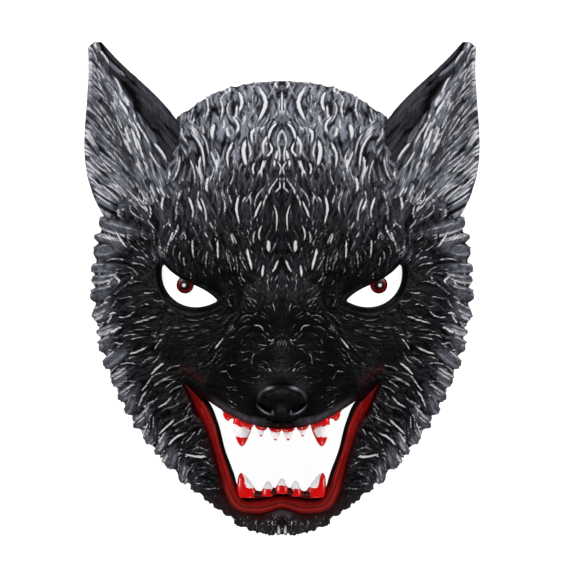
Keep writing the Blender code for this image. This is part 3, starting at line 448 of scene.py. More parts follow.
# The strokes that are plain to see from the front: brightness, width, and three places
# (across, up) from the root to the tip. They also lead the rest of the coat.
leadStrokes = (
    (0.85, 2.3, (1.7, -126.0), (1.8, -129.0), (1.3, -132.5)),
    (0.6, 1.7, (5.8, -122.5), (5.0, -126.0), (5.2, -129.0)),
    (0.5, 1.5, (9.6, -122.5), (10.2, -125.5), (8.8, -128.5)),
    (0.45, 1.2, (12.5, -124.5), (13.2, -127.0), (12.4, -130.0)),
    (0.6, 1.4, (28.4, 32.2), (26.0, 28.0), (24.0, 23.4)),
    (0.5, 1.2, (26.0, 20.0), (25.0, 14.0), (24.2, 8.7)),
    (0.45, 1.1, (30.1, 20.8), (28.8, 15.0), (26.8, 8.7)),
    (0.6, 1.3, (13.8, 33.8), (15.4, 29.0), (15.5, 23.6)),
    (1.0, 2.6, (13.9, 111.8), (8.9, 101.0), (13.9, 88.7)),
    (0.9, 1.9, (13.9, 88.7), (16.3, 84.5), (15.5, 78.0)),
    (0.5, 1.2, (14.8, 108.7), (16.2, 103.0), (15.0, 98.0)),
    (0.95, 1.9, (1.6, 91.5), (6.0, 86.6), (7.4, 80.0)),
    (0.85, 1.7, (7.2, 81.0), (5.4, 76.2), (9.6, 70.6)),
    (0.6, 1.3, (6.5, 97.2), (8.0, 92.0), (10.9, 88.0)),
    (0.5, 1.2, (4.7, 93.0), (7.0, 90.0), (8.4, 85.5)),
    (0.9, 1.7, (0.0, 109.0), (0.0, 101.0), (0.0, 92.0)),
    (1.0, 2.6, (19.4, 82.5), (20.6, 74.0), (18.6, 65.5)),
    (0.8, 1.5, (13.9, 69.5), (15.5, 66.0), (14.8, 61.0)),
    (0.9, 1.7, (22.4, 53.2), (24.4, 44.7), (22.4, 33.9)),
    (0.7, 1.5, (3.9, 70.9), (0.5, 66.0), (2.0, 60.5)),
    (0.7, 1.4, (2.0, 60.0), (1.0, 56.0), (4.7, 52.0)),
    (0.8, 1.3, (5.8, 49.3), (3.0, 42.0), (3.2, 30.0)),
    (0.8, 1.5, (10.1, 50.1), (13.2, 43.2), (15.5, 37.0)),
    (0.7, 1.4, (10.1, 36.5), (12.4, 31.0), (11.8, 25.5)),
    (1.0, 2.4, (7.4, 28.0), (7.6, 24.5), (7.9, 20.5)),
    (1.0, 2.0, (19.2, 23.5), (18.2, 16.5), (16.6, 9.6)),
    (0.9, 1.8, (10.5, 14.6), (10.9, 10.0), (11.2, 5.6)),
    (0.9, 1.7, (1.6, 17.9), (4.0, 13.0), (6.2, 8.0)),
    (0.9, 2.3, (23.6, 108.4), (21.6, 101.0), (23.6, 94.7)),
    (0.7, 1.8, (40.9, 105.6), (39.6, 97.4), (41.8, 89.2)),
    (0.7, 1.7, (34.5, 105.6), (31.8, 97.4), (33.6, 90.1)),
    (0.9, 2.6, (36.4, 91.0), (37.6, 86.0), (37.3, 80.5)),
    (0.8, 2.0, (28.2, 95.5), (23.5, 89.0), (25.4, 83.0)),
    (0.8, 1.9, (25.4, 81.9), (29.3, 72.0), (28.2, 63.6)),
    (0.9, 1.8, (51.0, 87.5), (43.6, 77.0), (41.6, 61.8)),
    (0.6, 1.5, (45.5, 87.4), (40.9, 80.0), (38.9, 70.0)),
    (0.9, 2.6, (60.1, 94.3), (57.5, 91.0), (54.6, 88.0)),
    (0.7, 1.9, (67.4, 86.5), (63.7, 76.4), (61.0, 68.2)),
    (0.7, 1.9, (55.0, 73.7), (56.4, 64.6), (60.5, 57.3)),
    (0.9, 2.3, (79.2, 77.0), (78.3, 66.4), (75.4, 57.0)),
    (0.8, 1.8, (70.5, 69.5), (72.4, 63.5), (71.6, 58.0)),
    (0.7, 1.6, (35.5, 27.5), (35.4, 21.0), (34.5, 14.6)),
    (0.6, 1.5, (27.8, 32.0), (27.0, 27.5), (25.2, 23.6)),
    (0.6, 1.5, (48.8, 28.0), (48.4, 23.0), (46.8, 17.0)),
    (0.6, 1.6, (57.9, 33.0), (60.5, 26.0), (61.9, 19.0)),
    (0.60, 1.5, (83.0, 15.4), (89.0, 16.8), (96.0, 15.6)),
    (0.75, 1.8, (62.6, -38.0), (67.0, -41.5), (72.0, -46.6)),
    (0.55, 1.4, (55.6, -45.4), (63.8, -48.6), (71.0, -52.8)),
    (0.72, 1.5, (70.6, -52.4), (74.6, -58.3), (76.4, -65.0)),
    (0.72, 1.5, (58.0, -56.7), (61.5, -61.0), (67.9, -64.6)),
    (0.58, 1.4, (67.5, -64.2), (70.6, -69.1), (70.2, -76.6)),
    (0.75, 1.6, (55.0, -67.5), (60.0, -72.2), (66.0, -78.2)),
    (0.85, 1.9, (49.2, -76.0), (55.3, -78.6), (61.8, -84.8)),
    (0.55, 1.3, (44.5, -76.4), (49.0, -79.8), (53.0, -84.0)),
    (0.60, 1.4, (62.3, -84.5), (64.8, -90.0), (67.9, -93.6)),
    (0.55, 1.3, (45.0, -95.4), (49.6, -97.4), (50.4, -102.0)),
    (0.62, 1.4, (51.0, -94.0), (53.8, -98.8), (54.8, -102.8)),
    (0.50, 1.2, (38.8, -97.8), (42.0, -96.6), (45.4, -97.6)),
    (0.66, 1.5, (79.6, -52.6), (84.7, -56.7), (90.0, -60.2)),
    (0.62, 1.4, (85.4, -39.7), (90.1, -42.1), (93.8, -47.2)),
    (0.55, 1.4, (76.6, -67.2), (80.0, -69.6), (83.6, -73.4)),
    (0.9, 2.2, (39.0, -91.2), (45.5, -90.6), (52.8, -88.4)),
    (0.46, 1.0, (21.4, -10.8), (27.6, -13.7), (32.0, -20.0)),
    (0.50, 1.1, (12.5, -15.4), (19.2, -14.2), (24.6, -17.6)),
    (0.44, 1.0, (8.1, -15.2), (9.0, -13.4), (11.8, -11.7)),
    (0.48, 1.1, (16.2, -19.4), (22.6, -22.0), (25.4, -28.3)),
    (0.56, 1.2, (16.2, -19.4), (11.4, -20.2), (8.6, -24.3)),
    (0.44, 1.0, (7.7, -18.6), (6.4, -19.9), (5.3, -21.9)),
    (0.40, 1.0, (11.0, -23.5), (15.0, -23.6), (20.6, -26.8)),
    (0.42, 1.0, (11.8, -23.7), (9.4, -25.4), (7.9, -28.0)),
    (0.80, 1.4, (30.4, -25.4), (33.6, -28.4), (37.0, -33.0)),
    (0.46, 1.1, (33.9, -26.6), (37.8, -29.8), (41.6, -34.8)),
    (0.40, 1.0, (31.0, -35.2), (34.6, -39.6), (38.6, -46.2)),
    (0.40, 1.0, (28.4, -29.2), (32.0, -35.2), (37.4, -38.8)),
    (0.40, 1.0, (41.0, -38.2), (43.4, -39.4), (46.2, -41.6)),
    (0.46, 1.0, (20.9, -39.4), (19.0, -38.0), (17.0, -37.6)),
    (0.40, 1.0, (20.2, -34.9), (17.8, -33.6), (15.2, -33.2)),
    (0.48, 1.0, (17.2, -47.4), (13.4, -47.8), (10.0, -45.6)),
    (0.42, 1.0, (14.2, -41.4), (10.4, -42.0), (7.2, -45.3)),
    (0.40, 1.0, (12.5, -37.6), (8.8, -39.3), (5.0, -43.0)),
    (0.50, 1.0, (20.8, -0.6), (19.4, -2.2), (17.4, -4.0)),
    (0.52, 1.1, (18.8, -7.2), (17.8, -8.2), (16.6, -9.2)),
    (0.42, 1.0, (15.4, 1.6), (14.0, -0.6), (12.6, -2.4)),
    (0.42, 1.0, (40.2, -12.0), (48.6, -14.0), (57.0, -12.4)),
    (0.40, 1.0, (39.4, -14.9), (47.2, -16.8), (54.6, -15.6)),
    (0.40, 1.0, (42.2, -18.2), (49.4, -20.0), (57.4, -19.0)),
    (0.46, 1.1, (46.0, -20.6), (51.8, -22.4), (57.8, -22.8)),
    (0.42, 1.0, (44.2, -24.0), (51.2, -26.4), (58.4, -27.6)),
    (0.6, 1.2, (2.0, -127.0), (2.3, -130.0), (2.0, -133.0)),
    (0.55, 1.3, (83.1, 14.6), (77.2, 14.1), (72.2, 12.4)),
    (0.50, 1.2, (92.0, 10.5), (88.0, 8.8), (81.0, 9.2)),
    (0.52, 1.3, (73.0, 3.6), (78.1, 4.4), (84.0, 1.5)),
    (0.50, 1.2, (79.5, -3.6), (84.8, -4.4), (89.4, -5.9)),
    (0.62, 1.4, (78.1, -10.3), (82.3, -14.5), (89.0, -14.7)),
    (0.52, 1.2, (70.9, -9.0), (74.7, -8.2), (78.4, -10.2)),
    (0.60, 1.4, (65.0, -12.8), (74.2, -17.0), (83.1, -19.5)),
    (0.46, 1.2, (71.0, -22.0), (77.0, -21.6), (84.4, -23.6)),
    (0.50, 1.2, (70.2, -25.2), (76.2, -25.4), (83.6, -27.4)),
    (0.78, 1.6, (71.4, -29.4), (77.2, -32.6), (83.6, -35.4)),
    (0.62, 1.3, (63.6, -25.2), (67.1, -28.4), (69.9, -33.0)),
    (0.55, 1.4, (75.5, -40.2), (83.1, -39.4), (88.8, -41.0)),
    (0.55, 1.3, (57.0, -48.4), (64.6, -49.6), (71.0, -54.2)),
    (0.48, 1.2, (54.4, -45.0), (59.5, -50.5), (65.0, -55.2)),
    (0.85, 2.0, (90.9, 35.2), (88.2, 28.9), (82.8, 21.8)),
    (0.52, 1.3, (85.6, 31.4), (82.0, 24.7), (74.5, 19.4)),
    (0.48, 1.2, (79.6, 29.0), (76.6, 24.0), (71.0, 20.4)),
    (0.46, 1.1, (63.8, -10.6), (58.7, -12.4), (54.8, -12.2)),
    (0.60, 1.6, (57.0, 36.0), (56.8, 31.0), (60.2, 24.6)),
    (0.60, 1.4, (52.8, 20.0), (52.9, 16.9), (52.0, 13.6)),
    (0.55, 1.3, (40.6, 22.0), (40.9, 16.4), (40.2, 12.6)),
    (0.55, 1.3, (30.4, 23.0), (30.6, 18.6), (29.0, 13.6)),
)
leadPlaces = np.array([row[2:] for row in leadStrokes], float)
leadPelt = onPelt(leadPlaces[..., 0], leadPlaces[..., 1])
leadMiddle = leadPelt.mean(axis=1)
leadHeading = leadPelt[:, 2] - leadPelt[:, 0]
leadHeading /= np.linalg.norm(leadHeading, axis=1, keepdims=True)
# the muzzle's short fur runs back from the nose
muzzleLead = np.array([(0, -30), (0, -8), (14, -36), (30, -44), (30, -58), (18, -62), (38, -30), (24, -8)], float)
muzzleMiddle = onPelt(muzzleLead[:, 0], muzzleLead[:, 1])
muzzleHeading = onPelt(muzzleLead[:, 0] * 1.1, muzzleLead[:, 1] + 0.1 * (muzzleLead[:, 1] + 70)) - muzzleMiddle
muzzleHeading /= np.linalg.norm(muzzleHeading, axis=1, keepdims=True)
leadMiddle, leadHeading = np.vstack([leadMiddle, muzzleMiddle]), np.vstack([leadHeading, muzzleHeading])


# heading of the fur at a place: the lead strokes' headings, weighed by 1 / distance^4
def heading(place):
    far = ((place[:, None] - leadMiddle) ** 2).sum(-1)
    weight = 1 / (far + 30.0) ** 2
    flow = weight @ leadHeading
    outwards = place / np.maximum(np.linalg.norm(place, axis=1, keepdims=True), 1e-6)
    flow = flow + outwards * (1e-6 * softStep(np.linalg.norm(place, axis=1), 40, 90))[:, None]
    return flow / np.maximum(np.linalg.norm(flow, axis=1, keepdims=True), 1e-12)


# paths that start at seeds and follow the heading, swung to and fro by a sine
def growPaths(seeds, length, swing, steps, headingOf):
    places, path = seeds.copy(), [seeds]
    phase = rng.uniform(0, 2 * math.pi, len(seeds))
    for step in range(steps):
        flow = headingOf(places)
        angle = swing * np.sin(phase + 4.0 * step / steps)
        cos, sin = np.cos(angle), np.sin(angle)
        turned = np.stack([flow[:, 0] * cos - flow[:, 1] * sin, flow[:, 0] * sin + flow[:, 1] * cos], axis=1)
        places = places + turned * (length / steps)[:, None]
        path.append(places)
    return np.stack(path, axis=1)


# A canvas holds the fur's height, its blue-grey with painted shade in it, and its silver on square cells.
class Canvas:
    def __init__(self, low, high, cell):
        self.low, self.cell = np.array(low, float), cell
        size = np.ceil((np.array(high) - self.low) / cell).astype(int) + 1
        self.height = np.zeros((size[0], size[1]))
        self.tone = np.zeros_like(self.height)
        self.silver = np.zeros_like(self.height)

    # One stroke: a rounded ridge along its path, low at the root, high and cut off at the tip.
    # The highest stroke wins a cell. Silver lies along a line, crest times its half width aside.
    def lay(self, path, width, height, tone, silver, crest, line, blunt=0.25, root=0.30):
        low = np.floor((path.min(0) - width - self.low) / self.cell).astype(int)
        high = np.ceil((path.max(0) + width - self.low) / self.cell).astype(int) + 1
        low, high = np.maximum(low, 0), np.minimum(high, self.height.shape)
        if (high <= low).any():
            return
        u = self.low[0] + np.arange(low[0], high[0]) * self.cell
        v = self.low[1] + np.arange(low[1], high[1]) * self.cell
        du = u[:, None, None] - path[None, None, :-1, 0]
        dv = v[None, :, None] - path[None, None, :-1, 1]
        leg = path[1:] - path[:-1]
        size = np.maximum((leg**2).sum(-1), 1e-9)
        t = np.clip((du * leg[:, 0] + dv * leg[:, 1]) / size, 0, 1)
        away = np.hypot(du - t * leg[:, 0], dv - t * leg[:, 1])
        side = np.sign(du * leg[:, 1] - dv * leg[:, 0])
        best = away.argmin(axis=-1)[..., None]
        along = np.take_along_axis(t + np.arange(len(leg)), best, -1)[..., 0] / len(leg)
        away = np.take_along_axis(away, best, -1)[..., 0]
        side = np.take_along_axis(side, best, -1)[..., 0]
        half = width / 2 * np.minimum(1, 0.30 + 2.4 * along) * np.minimum(1, (1 - along) / blunt + 0.12) ** 0.6
        q = away / half
        ridge = height * (root + (1 - root) * along) * np.clip(1 - q * q, 0, 1) ** 0.7
        window = (slice(low[0], high[0]), slice(low[1], high[1]))
        wins = ridge > self.height[window]
        taper = np.clip(np.sin(math.pi * np.clip(along, 0.02, 0.98)) * 1.5, 0, 1)
        aside = np.abs(side * away - crest * half) / (line * (0.35 + 0.65 * taper))
        streak = (0.68 * np.exp(-(aside**2)) + 0.32 * np.exp(-((aside / 2.6) ** 2))) * taper
        self.height[window][wins] = ridge[wins]
        # painted shade: the tone is darker at the root, where the strokes over it shade it, and darker towards the
        # stroke's sides
        shaded = 0.35 + 0.65 * softStep(along, 0.0, 0.35)  # darker at the root
        self.tone[window][wins] = (tone * shaded * np.clip(1.2 - 1.15 * q * q, 0, 1))[wins]
        self.silver[window][wins] = (silver * streak)[wins]

    # values between the cells, by the four around each place
    def read(self, values, u, v):
        a = np.clip((u - self.low[0]) / self.cell, 0, self.height.shape[0] - 1.001)
        b = np.clip((v - self.low[1]) / self.cell, 0, self.height.shape[1] - 1.001)
        i, j = a.astype(int), b.astype(int)
        s, t = a - i, b - j
        near = values[i, j] * (1 - s) + values[i + 1, j] * s
        return near * (1 - t) + (values[i, j + 1] * (1 - s) + values[i + 1, j + 1] * s) * t


fur = {
    "cell": 0.35,
    "seedPitch": 1.25,
    "cover": 1.9,  # how many strokes lie over a place
    "fineCover": 1.1,  # the same for the fine hair on them
    "lockPitch": 3.6,
    "lockWidth": 8.0,
    "lockLength": 17.0,
    "lockCover": 1.6,
}
rimTufts = {"pitch": 9.5, "length": 40.0, "height": 3.9, "sweep": -7.0}
far = runLength.max() + 8
strokes = Canvas((-16, -far), (far, far), fur["cell"])
hair = Canvas((-16, -far), (far, far), fur["cell"])
locks = Canvas((-16, -far), (far, far), 2 * fur["cell"])


# seeds on a jittered square grid over the right half of the pelt
def scatter(pitch):
    u, v = np.meshgrid(np.arange(-4, far, pitch), np.arange(-far, far, pitch), indexing="ij")
    seeds = np.stack([u.ravel(), v.ravel()], axis=1)
    return seeds + rng.uniform(-0.5, 0.5, seeds.shape) * pitch


def layCoat():
    seeds = scatter(fur["seedPitch"])
    x, y, off = fromPelt(seeds[:, 0], seeds[:, 1])
    length, width, height, tone, silver, lockHeight = coatHere(x, y).T
    keep = rng.random(len(seeds)) < fur["cover"] * fur["seedPitch"] ** 2 / (length * width * 0.62)
    keep &= ~off
    seeds, length, width, height, tone, silver = (a[keep] for a in (seeds, length, width, height, tone, silver))
    length = length * rng.uniform(0.65, 1.3, len(length))
    width = width * rng.uniform(0.7, 1.35, len(width))
    glow = 0.60 + 0.40 * softStep(tone, 0.02, 0.40)
    paths = growPaths(seeds, length, 0.42, 6, heading)
    paths = paths - (paths[:, 3:4] - paths[:, :1]) * 0.6
    for k in range(len(seeds)):
        isBright = rng.random() < silver[k]
        rise = rng.uniform(0.9, 1.25) if isBright else rng.uniform(0.45, 1.0)
        # painted shade: a bright stroke gets a dark, wider and lower stroke under it, as shade round the lock
        if isBright:  # a dark bed, wider and a little lower
            strokes.lay(paths[k], 2.0 * width[k], 0.72 * rise * height[k], 0.12 * tone[k], 0.0, 0.0, 0.4, root=0.7)
        strokes.lay(
            paths[k],
            width[k],
            height[k] * rise,
            tone[k] * rng.uniform(0.65, 1.2) * min(1.2, 1.9 * rise - 0.55),
            glow[k] * (0.36 + 0.64 * rng.random() ** 1.3) if isBright else rng.uniform(0.0, 0.12 + 0.4 * silver[k]),
            rng.uniform(-0.45, 0.45),
            0.32 + 0.20 * width[k] * rng.random(),
            root=0.7 if isBright else 0.3,
        )
    return len(seeds)


# short thin hairs over the strokes
def layFineHair():
    seeds = scatter(fur["seedPitch"])
    x, y, off = fromPelt(seeds[:, 0], seeds[:, 1])
    length, width, height, tone, silver, _ = coatHere(x, y).T
    length, width = 4.0 + 0.25 * length, 0.8 + 0.16 * width
    keep = rng.random(len(seeds)) < fur["fineCover"] * fur["seedPitch"] ** 2 / (length * width * 0.62)
    keep &= ~off
    paths = growPaths(seeds[keep], (length * rng.uniform(0.6, 1.3, len(length)))[keep], 0.3, 4, heading)
    for path, wide, high, share in zip(paths, width[keep], height[keep], silver[keep]):
        bright = rng.uniform(0.2, 0.6) if rng.random() < 0.5 * share else rng.uniform(0.0, 0.15)
        hair.lay(path, wide, 0.16 + 0.14 * high, 1.0, bright, 0.0, 0.4)
    return len(paths)


def layLocks():
    seeds = scatter(fur["lockPitch"])
    x, y, off = fromPelt(seeds[:, 0], seeds[:, 1])
    lockHeight = coatHere(x, y)[:, 5]
    share = fur["lockCover"] * fur["lockPitch"] ** 2 / (fur["lockLength"] * fur["lockWidth"] * 0.62)
    keep = (rng.random(len(seeds)) < share) & (lockHeight > 0.15) & ~off
    seeds, lockHeight = seeds[keep], lockHeight[keep]
    length = fur["lockLength"] * rng.uniform(0.7, 1.2, len(seeds))
    paths = growPaths(seeds, length, 0.3, 6, heading)
    for k in range(len(seeds)):
        width = fur["lockWidth"] * rng.uniform(0.7, 1.25)
        locks.lay(paths[k], width, lockHeight[k] * rng.uniform(0.7, 1.1), 0, 0, 0, 1.0, blunt=0.45)
    return len(seeds)


def layLeads():
    for (bright, width, *_), path in zip(leadStrokes, leadPelt):
        line = alongCurve(path, 9)
        x, y, _ = fromPelt(line[4:5, 0], line[4:5, 1])
        length, _, height, tone, _, _ = coatHere(x, y)[0]
        for side in (1, -1) if line[:, 0].min() < 3 else (1,):
            top = height * 1.5 + 0.25
            # painted shade: a dark, wider and lower stroke under each lead stroke, as shade round it
            strokes.lay(line * (side, 1), width * 1.7 + 2.0, 0.85 * top, 0.15 * tone, 0.0, 0.0, 0.4, blunt=0.4, root=0.8)
            strokes.lay(line * (side, 1), width * 1.7, top, tone, bright, 0.0, 0.46 * width, blunt=0.4, root=0.8)


# broad tufts that end at the rim, from the temples down to the chin
def layRimTufts():
    at = 0.0
    rim = runLength[-1]
    spacing = np.linalg.norm(np.roll(edgeLoop, -1, 0) - edgeLoop, axis=1)
    along = np.cumsum(spacing)
    first = np.argmax(edgeLoop[:, 1] < 52)
    at = along[first]
    while at < along[columns // 2] - 2:
        gap = rimTufts["pitch"] * rng.uniform(0.6, 1.35)
        column = int(np.searchsorted(along, at + gap / 2)) % columns
        small = softStep(edgeLoop[column, 1], -95, -120)
        turn = runTurn[-1, column]
        out = np.array([math.sin(turn), math.cos(turn)])
        side = np.array([out[1], -out[0]])
        length = rimTufts["length"] * rng.uniform(0.7, 1.15) * (1 - 0.5 * small)
        run = np.linspace(0, 1, 8)[:, None]
        bend = rng.uniform(-4.0, 4.0) + rimTufts["sweep"] * (1 - small)
        path = out * (rim[column] + 3 - length * (1 - run)) + side * bend * (1 - run) ** 2
        high = rimTufts["height"] * rng.uniform(0.6, 1.15) * (1 - 0.35 * small)
        dark = softStep(edgeLoop[column, 1], -100, -112)
        crest = -0.66 if rng.random() < 0.7 else 0.66
        shown = (gap * 1.15, high, 0.55 - 0.48 * dark, rng.uniform(0.5, 0.95) * (1 - 0.6 * dark), crest, 0.9)
        strokes.lay(path, *shown, blunt=0.20, root=0.14)
        for _ in range(3):  # narrow strokes that lie on the tuft
            beside = side * rng.uniform(-0.42, 0.42) * gap
            part = path[rng.integers(0, 4) : rng.integers(6, 9)] + beside
            glint = rng.uniform(0.20, 0.75) * (1 - 0.6 * dark)
            strokes.lay(part, gap * 0.30, high * 1.04, 0.90 - 0.80 * dark, glint, 0.3, 0.7, root=0.35)
        at += gap * (1 - 0.25 * small)


strokeCount, hairCount, lockCount = layCoat(), layFineHair(), layLocks()
layRimTufts()
layLeads()
print("fur laid:", strokeCount, "strokes,", hairCount, "hairs,", lockCount, "locks")

mirroredU = np.abs(peltU)
strokeHeight = strokes.read(strokes.height, mirroredU, peltV)
strokeTone = strokes.read(strokes.tone, mirroredU, peltV)
strokeSilver = strokes.read(strokes.silver, mirroredU, peltV)
lockHeight = locks.read(locks.height, mirroredU, peltV)
hairHeight = hair.read(hair.height, mirroredU, peltV)
hairSilver = hair.read(hair.silver, mirroredU, peltV)

# the fur thins out on the lids, on the bare edge of the upper lip and under the nose piece
noseMiddle = muzzleRows[4][1] * halfHeight
noseGap = np.hypot(gridX / 15.5, (gridY - noseMiddle) / 11.5)
over = aboveEye(gridX, gridY)
onLid = over * softStep(eyeGap, 0.4, 2.6) + (1 - over) * softStep(eyeGap, 2.2, 5.5)
lipLine = upperEdge(240)
overLip = gridY > np.interp(gridX, lipLine[:, 0], lipLine[:, 1]) - 0.5
onLip = np.where(overLip, softStep(mouthGap, 1.6, 5.5), softStep(mouthGap, 0.2, 1.8))
furred = onLid * onLip * softStep(noseGap, 1.0, 1.25)
relief = (strokeHeight + lockHeight + hairHeight) * furred * faceGrid["lift"]
# painted shade: the tone is darker in the grooves between the fine hairs
groove = softStep(hairHeight, 0.0, 0.12)
tone = strokeTone * furred * (0.55 + 0.45 * groove)
silver = np.maximum(strokeSilver, hairSilver * 0.7) * furred
coatNow = coatHere(gridX, gridY)
lidRings = bump(eyeGap, 3.9, 0.5) + 0.8 * bump(eyeGap, 6.6, 0.7)
tone = tone + 0.10 * (1 - onLid) * (1 - over) * lidRings
smoothLip = (1 - onLip) * overLip * (np.abs(gridX) < 42)
# painted sheen: blue-grey along the bare edge of the upper lip stands in for a reflection
tone = np.maximum(tone, 0.30 * smoothLip * bump(mouthGap, 2.4, 2.2) * softStep(np.abs(gridX), 4, 16) * softStep(np.abs(gridX), 42, 30))
tone = np.maximum(tone, 0.28 * bump(gridX, 0, 8) * bump(gridY, -120.5, 2.2) * (mouthGap > 0.5))
# dark red wiped round the corners of the mouth and under the chin
smearEnds = np.array([(53.5, -42.5), (40.0, -51.5)])
smearLeg = smearEnds[1] - smearEnds[0]
smearAt = np.stack([np.abs(gridX), gridY], axis=-1) - smearEnds[0]
smearRun = np.clip(smearAt @ smearLeg / (smearLeg @ smearLeg), 0, 1)
smearAway = np.linalg.norm(smearAt - smearRun[..., None] * smearLeg, axis=-1)
ragged = 0.25 + 0.75 * softStep(hairHeight + 0.5 * strokeHeight, 0.1, 0.7)
smear = 0.8 * ragged * bump(smearAway, 0, 2.1) * softStep(smearRun, 1.0, 0.75) + 0.35 * bump(mouthGap, 0.6, 1.6) * softStep(-gridY, 50, 60)
smear = smear + 0.16 * bump(mouthGap, 6.0, 6.0) * softStep(-gridY, 104, 118)
print("relief read")

points = skin + skinNormal * relief[..., None]
points[-1, :, 2] = 0
points[..., 2] = np.maximum(points[..., 2], 0)
sunk = noseGap < 0.98
points[..., 2] -= 0.8 * (1 - softStep(noseGap, 0.80, 0.98))


# walls of the openings: grid just inside a loop goes out to the loop and down
def openUp(points, gap, foot, mirrored):
    band = gap < 0
    depth = np.clip(-gap / faceGrid["holeBand"], 0, 1)
    sides = np.where(gridX < 0, -1, 1) if mirrored else 1
    target = np.stack([foot[..., 0] * sides, foot[..., 1]], axis=-1)
    points[..., :2] = np.where(band[..., None], target, points[..., :2])
    points[..., 2] = np.where(band, points[..., 2] - faceGrid["holeWall"] * depth**1.3, points[..., 2])
    return gap < -faceGrid["holeBand"]


hole = openUp(points, eyeGap, eyeFoot, True)
hole |= openUp(points, mouthGap, mouthFoot, False)

# rim: in under the shell and a little way up inside
inwards = -skinNormal[-1, :, :2]
under = np.dstack([(edgeLoop + inwards * head["wall"])[None], np.zeros((1, columns, 1))])
up = under + (0, 0, 2.0)
points = np.concatenate([points, under, up])
extra = np.zeros((2, columns))
hole = np.concatenate([hole, np.zeros((2, columns), bool)])
tone, silver = np.concatenate([tone, extra]), np.concatenate([silver, extra])
smear = np.concatenate([smear, extra])
peltLength = np.concatenate([runLength, runLength[-1:] + head["wall"], runLength[-1:] + 5])


# faces of the grid as rows of vertex numbers, with coarser columns near the pole:
# a quad where two rings match, and a five-sided face where the outer ring has twice the points
def gridFaces():
    total = len(points)
    radius = np.hypot(gridX, gridY - centreY).mean(axis=1)
    radius = np.concatenate([radius, radius[-1:], radius[-1:]])
    step = np.where(radius < 4.5, 16, np.where(radius < 9, 8, np.where(radius < 18, 4, np.where(radius < 36, 2, 1))))
    number = np.arange(total * columns).reshape(total, columns) + 1
    quads, fives = [], []
    for ring in range(total - 1):
        a, b = step[ring], step[ring + 1]
        inner = number[ring, ::a]
        outer = number[ring + 1, ::b]
        if a == b:
            quads.append(np.stack([inner, outer, np.roll(outer, -1), np.roll(inner, -1)], axis=1))
        else:
            first, second = outer[::2], outer[1::2]
            fives.append(np.stack([inner, first, second, np.roll(first, -1), np.roll(inner, -1)], axis=1))
    centre = number[0, :: step[0]]
    fan = np.stack([np.zeros_like(centre), centre, np.roll(centre, -1)], axis=1)
    return [fan, np.vstack(quads), np.vstack(fives)]


allPoints = np.vstack([pole + (0, 0, 0.3), points.reshape(-1, 3)])
isHole = np.concatenate([[False], hole.ravel()])
isInside = np.concatenate([[False], ((eyeGap < 0) | (mouthGap < 0)).ravel(), np.zeros(2 * columns, bool)])


# faces that lie in an opening, or that reach across one of its sharp corners, are left out
def outsideOpenings(faces):
    corners = allPoints[faces][..., :2]
    span = np.linalg.norm(corners.max(axis=1) - corners.min(axis=1), axis=1)
    return faces[~isHole[faces].all(axis=1) & ~(isInside[faces].any(axis=1) & (span > 1.25))]


faceSets = [outsideOpenings(faces) for faces in gridFaces()]


# unit normals at the points: the sum of the cross products of the faces' diagonals
def pointNormals(where, faceSets):
    total = np.zeros_like(where)
    for faces in faceSets:
        if len(faces):
            last = faces.shape[1] - 1
            normal = np.cross(where[faces[:, 2]] - where[faces[:, 0]], where[faces[:, last]] - where[faces[:, 1]])
            for corner in faces.T:
                for axis in range(3):
                    total[:, axis] += np.bincount(corner, normal[:, axis], len(where))
    return total / np.maximum(np.linalg.norm(total, axis=1, keepdims=True), 1e-12)


# a mesh from points in millimetres, sets of faces, point attributes and optional normals
def meshPiece(name, where, faceSets, material, attributes=None, normals=None, flip=False):
    used = np.unique(np.concatenate([faces.ravel() for faces in faceSets if len(faces)]))
    renumber = np.zeros(len(where), int)
    renumber[used] = np.arange(len(used))
    faceSets = [renumber[faces[:, ::-1] if flip else faces] for faces in faceSets if len(faces)]
    corners = np.concatenate([faces.ravel() for faces in faceSets])
    totals = np.concatenate([np.full(len(faces), faces.shape[1]) for faces in faceSets])
    mesh = bpy.data.meshes.new(name)
    mesh.vertices.add(len(used))
    mesh.vertices.foreach_set("co", (where[used] * metre).ravel())
    mesh.loops.add(len(corners))
    mesh.loops.foreach_set("vertex_index", corners)
    mesh.polygons.add(len(totals))
    mesh.polygons.foreach_set("loop_start", np.concatenate([[0], np.cumsum(totals)[:-1]]))
    mesh.update(calc_edges=True)
    mesh.validate()
    mesh.shade_smooth()
    for key, values in (attributes or {}).items():
        kind = "FLOAT" if values.ndim == 1 else "FLOAT_VECTOR"
        field = "value" if values.ndim == 1 else "vector"
        mesh.attributes.new(key, kind, "POINT").data.foreach_set(field, values[used].ravel())
    if normals is not None:
        mesh.normals_split_custom_set_from_vertices(normals[used])
    mesh.materials.append(material)
    thing = bpy.data.objects.new(name, mesh)
    bpy.context.scene.collection.objects.link(thing)
    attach(thing, "root")
    return thing


# materials
def addNode(tree, kind, inputs=None, **settings):
    node = tree.nodes.new(kind)
    for key, value in settings.items():
        setattr(node, key, value)
    for key, value in (inputs or {}).items():
        if isinstance(value, bpy.types.NodeSocket):
            tree.links.new(value, node.inputs[key])
        else:
            node.inputs[key].default_value = value
    return node


def mixColour(tree, factor, first, second, blend="MIX"):
    node = addNode(tree, "ShaderNodeMix", data_type="RGBA", blend_type=blend)
    for index, value in ((0, factor), (6, first), (7, second)):
        if isinstance(value, bpy.types.NodeSocket):
            tree.links.new(value, node.inputs[index])
        else:
            node.inputs[index].default_value = value
    return node.outputs[2]


def mathNode(tree, operation, first, second=0.0, clamp=False):
    node = tree.nodes.new("ShaderNodeMath")
    node.operation, node.use_clamp = operation, clamp
    for index, value in ((0, first), (1, second)):
        if isinstance(value, bpy.types.NodeSocket):
            tree.links.new(value, node.inputs[index])
        else:
            node.inputs[index].default_value = value
    return node.outputs[0]


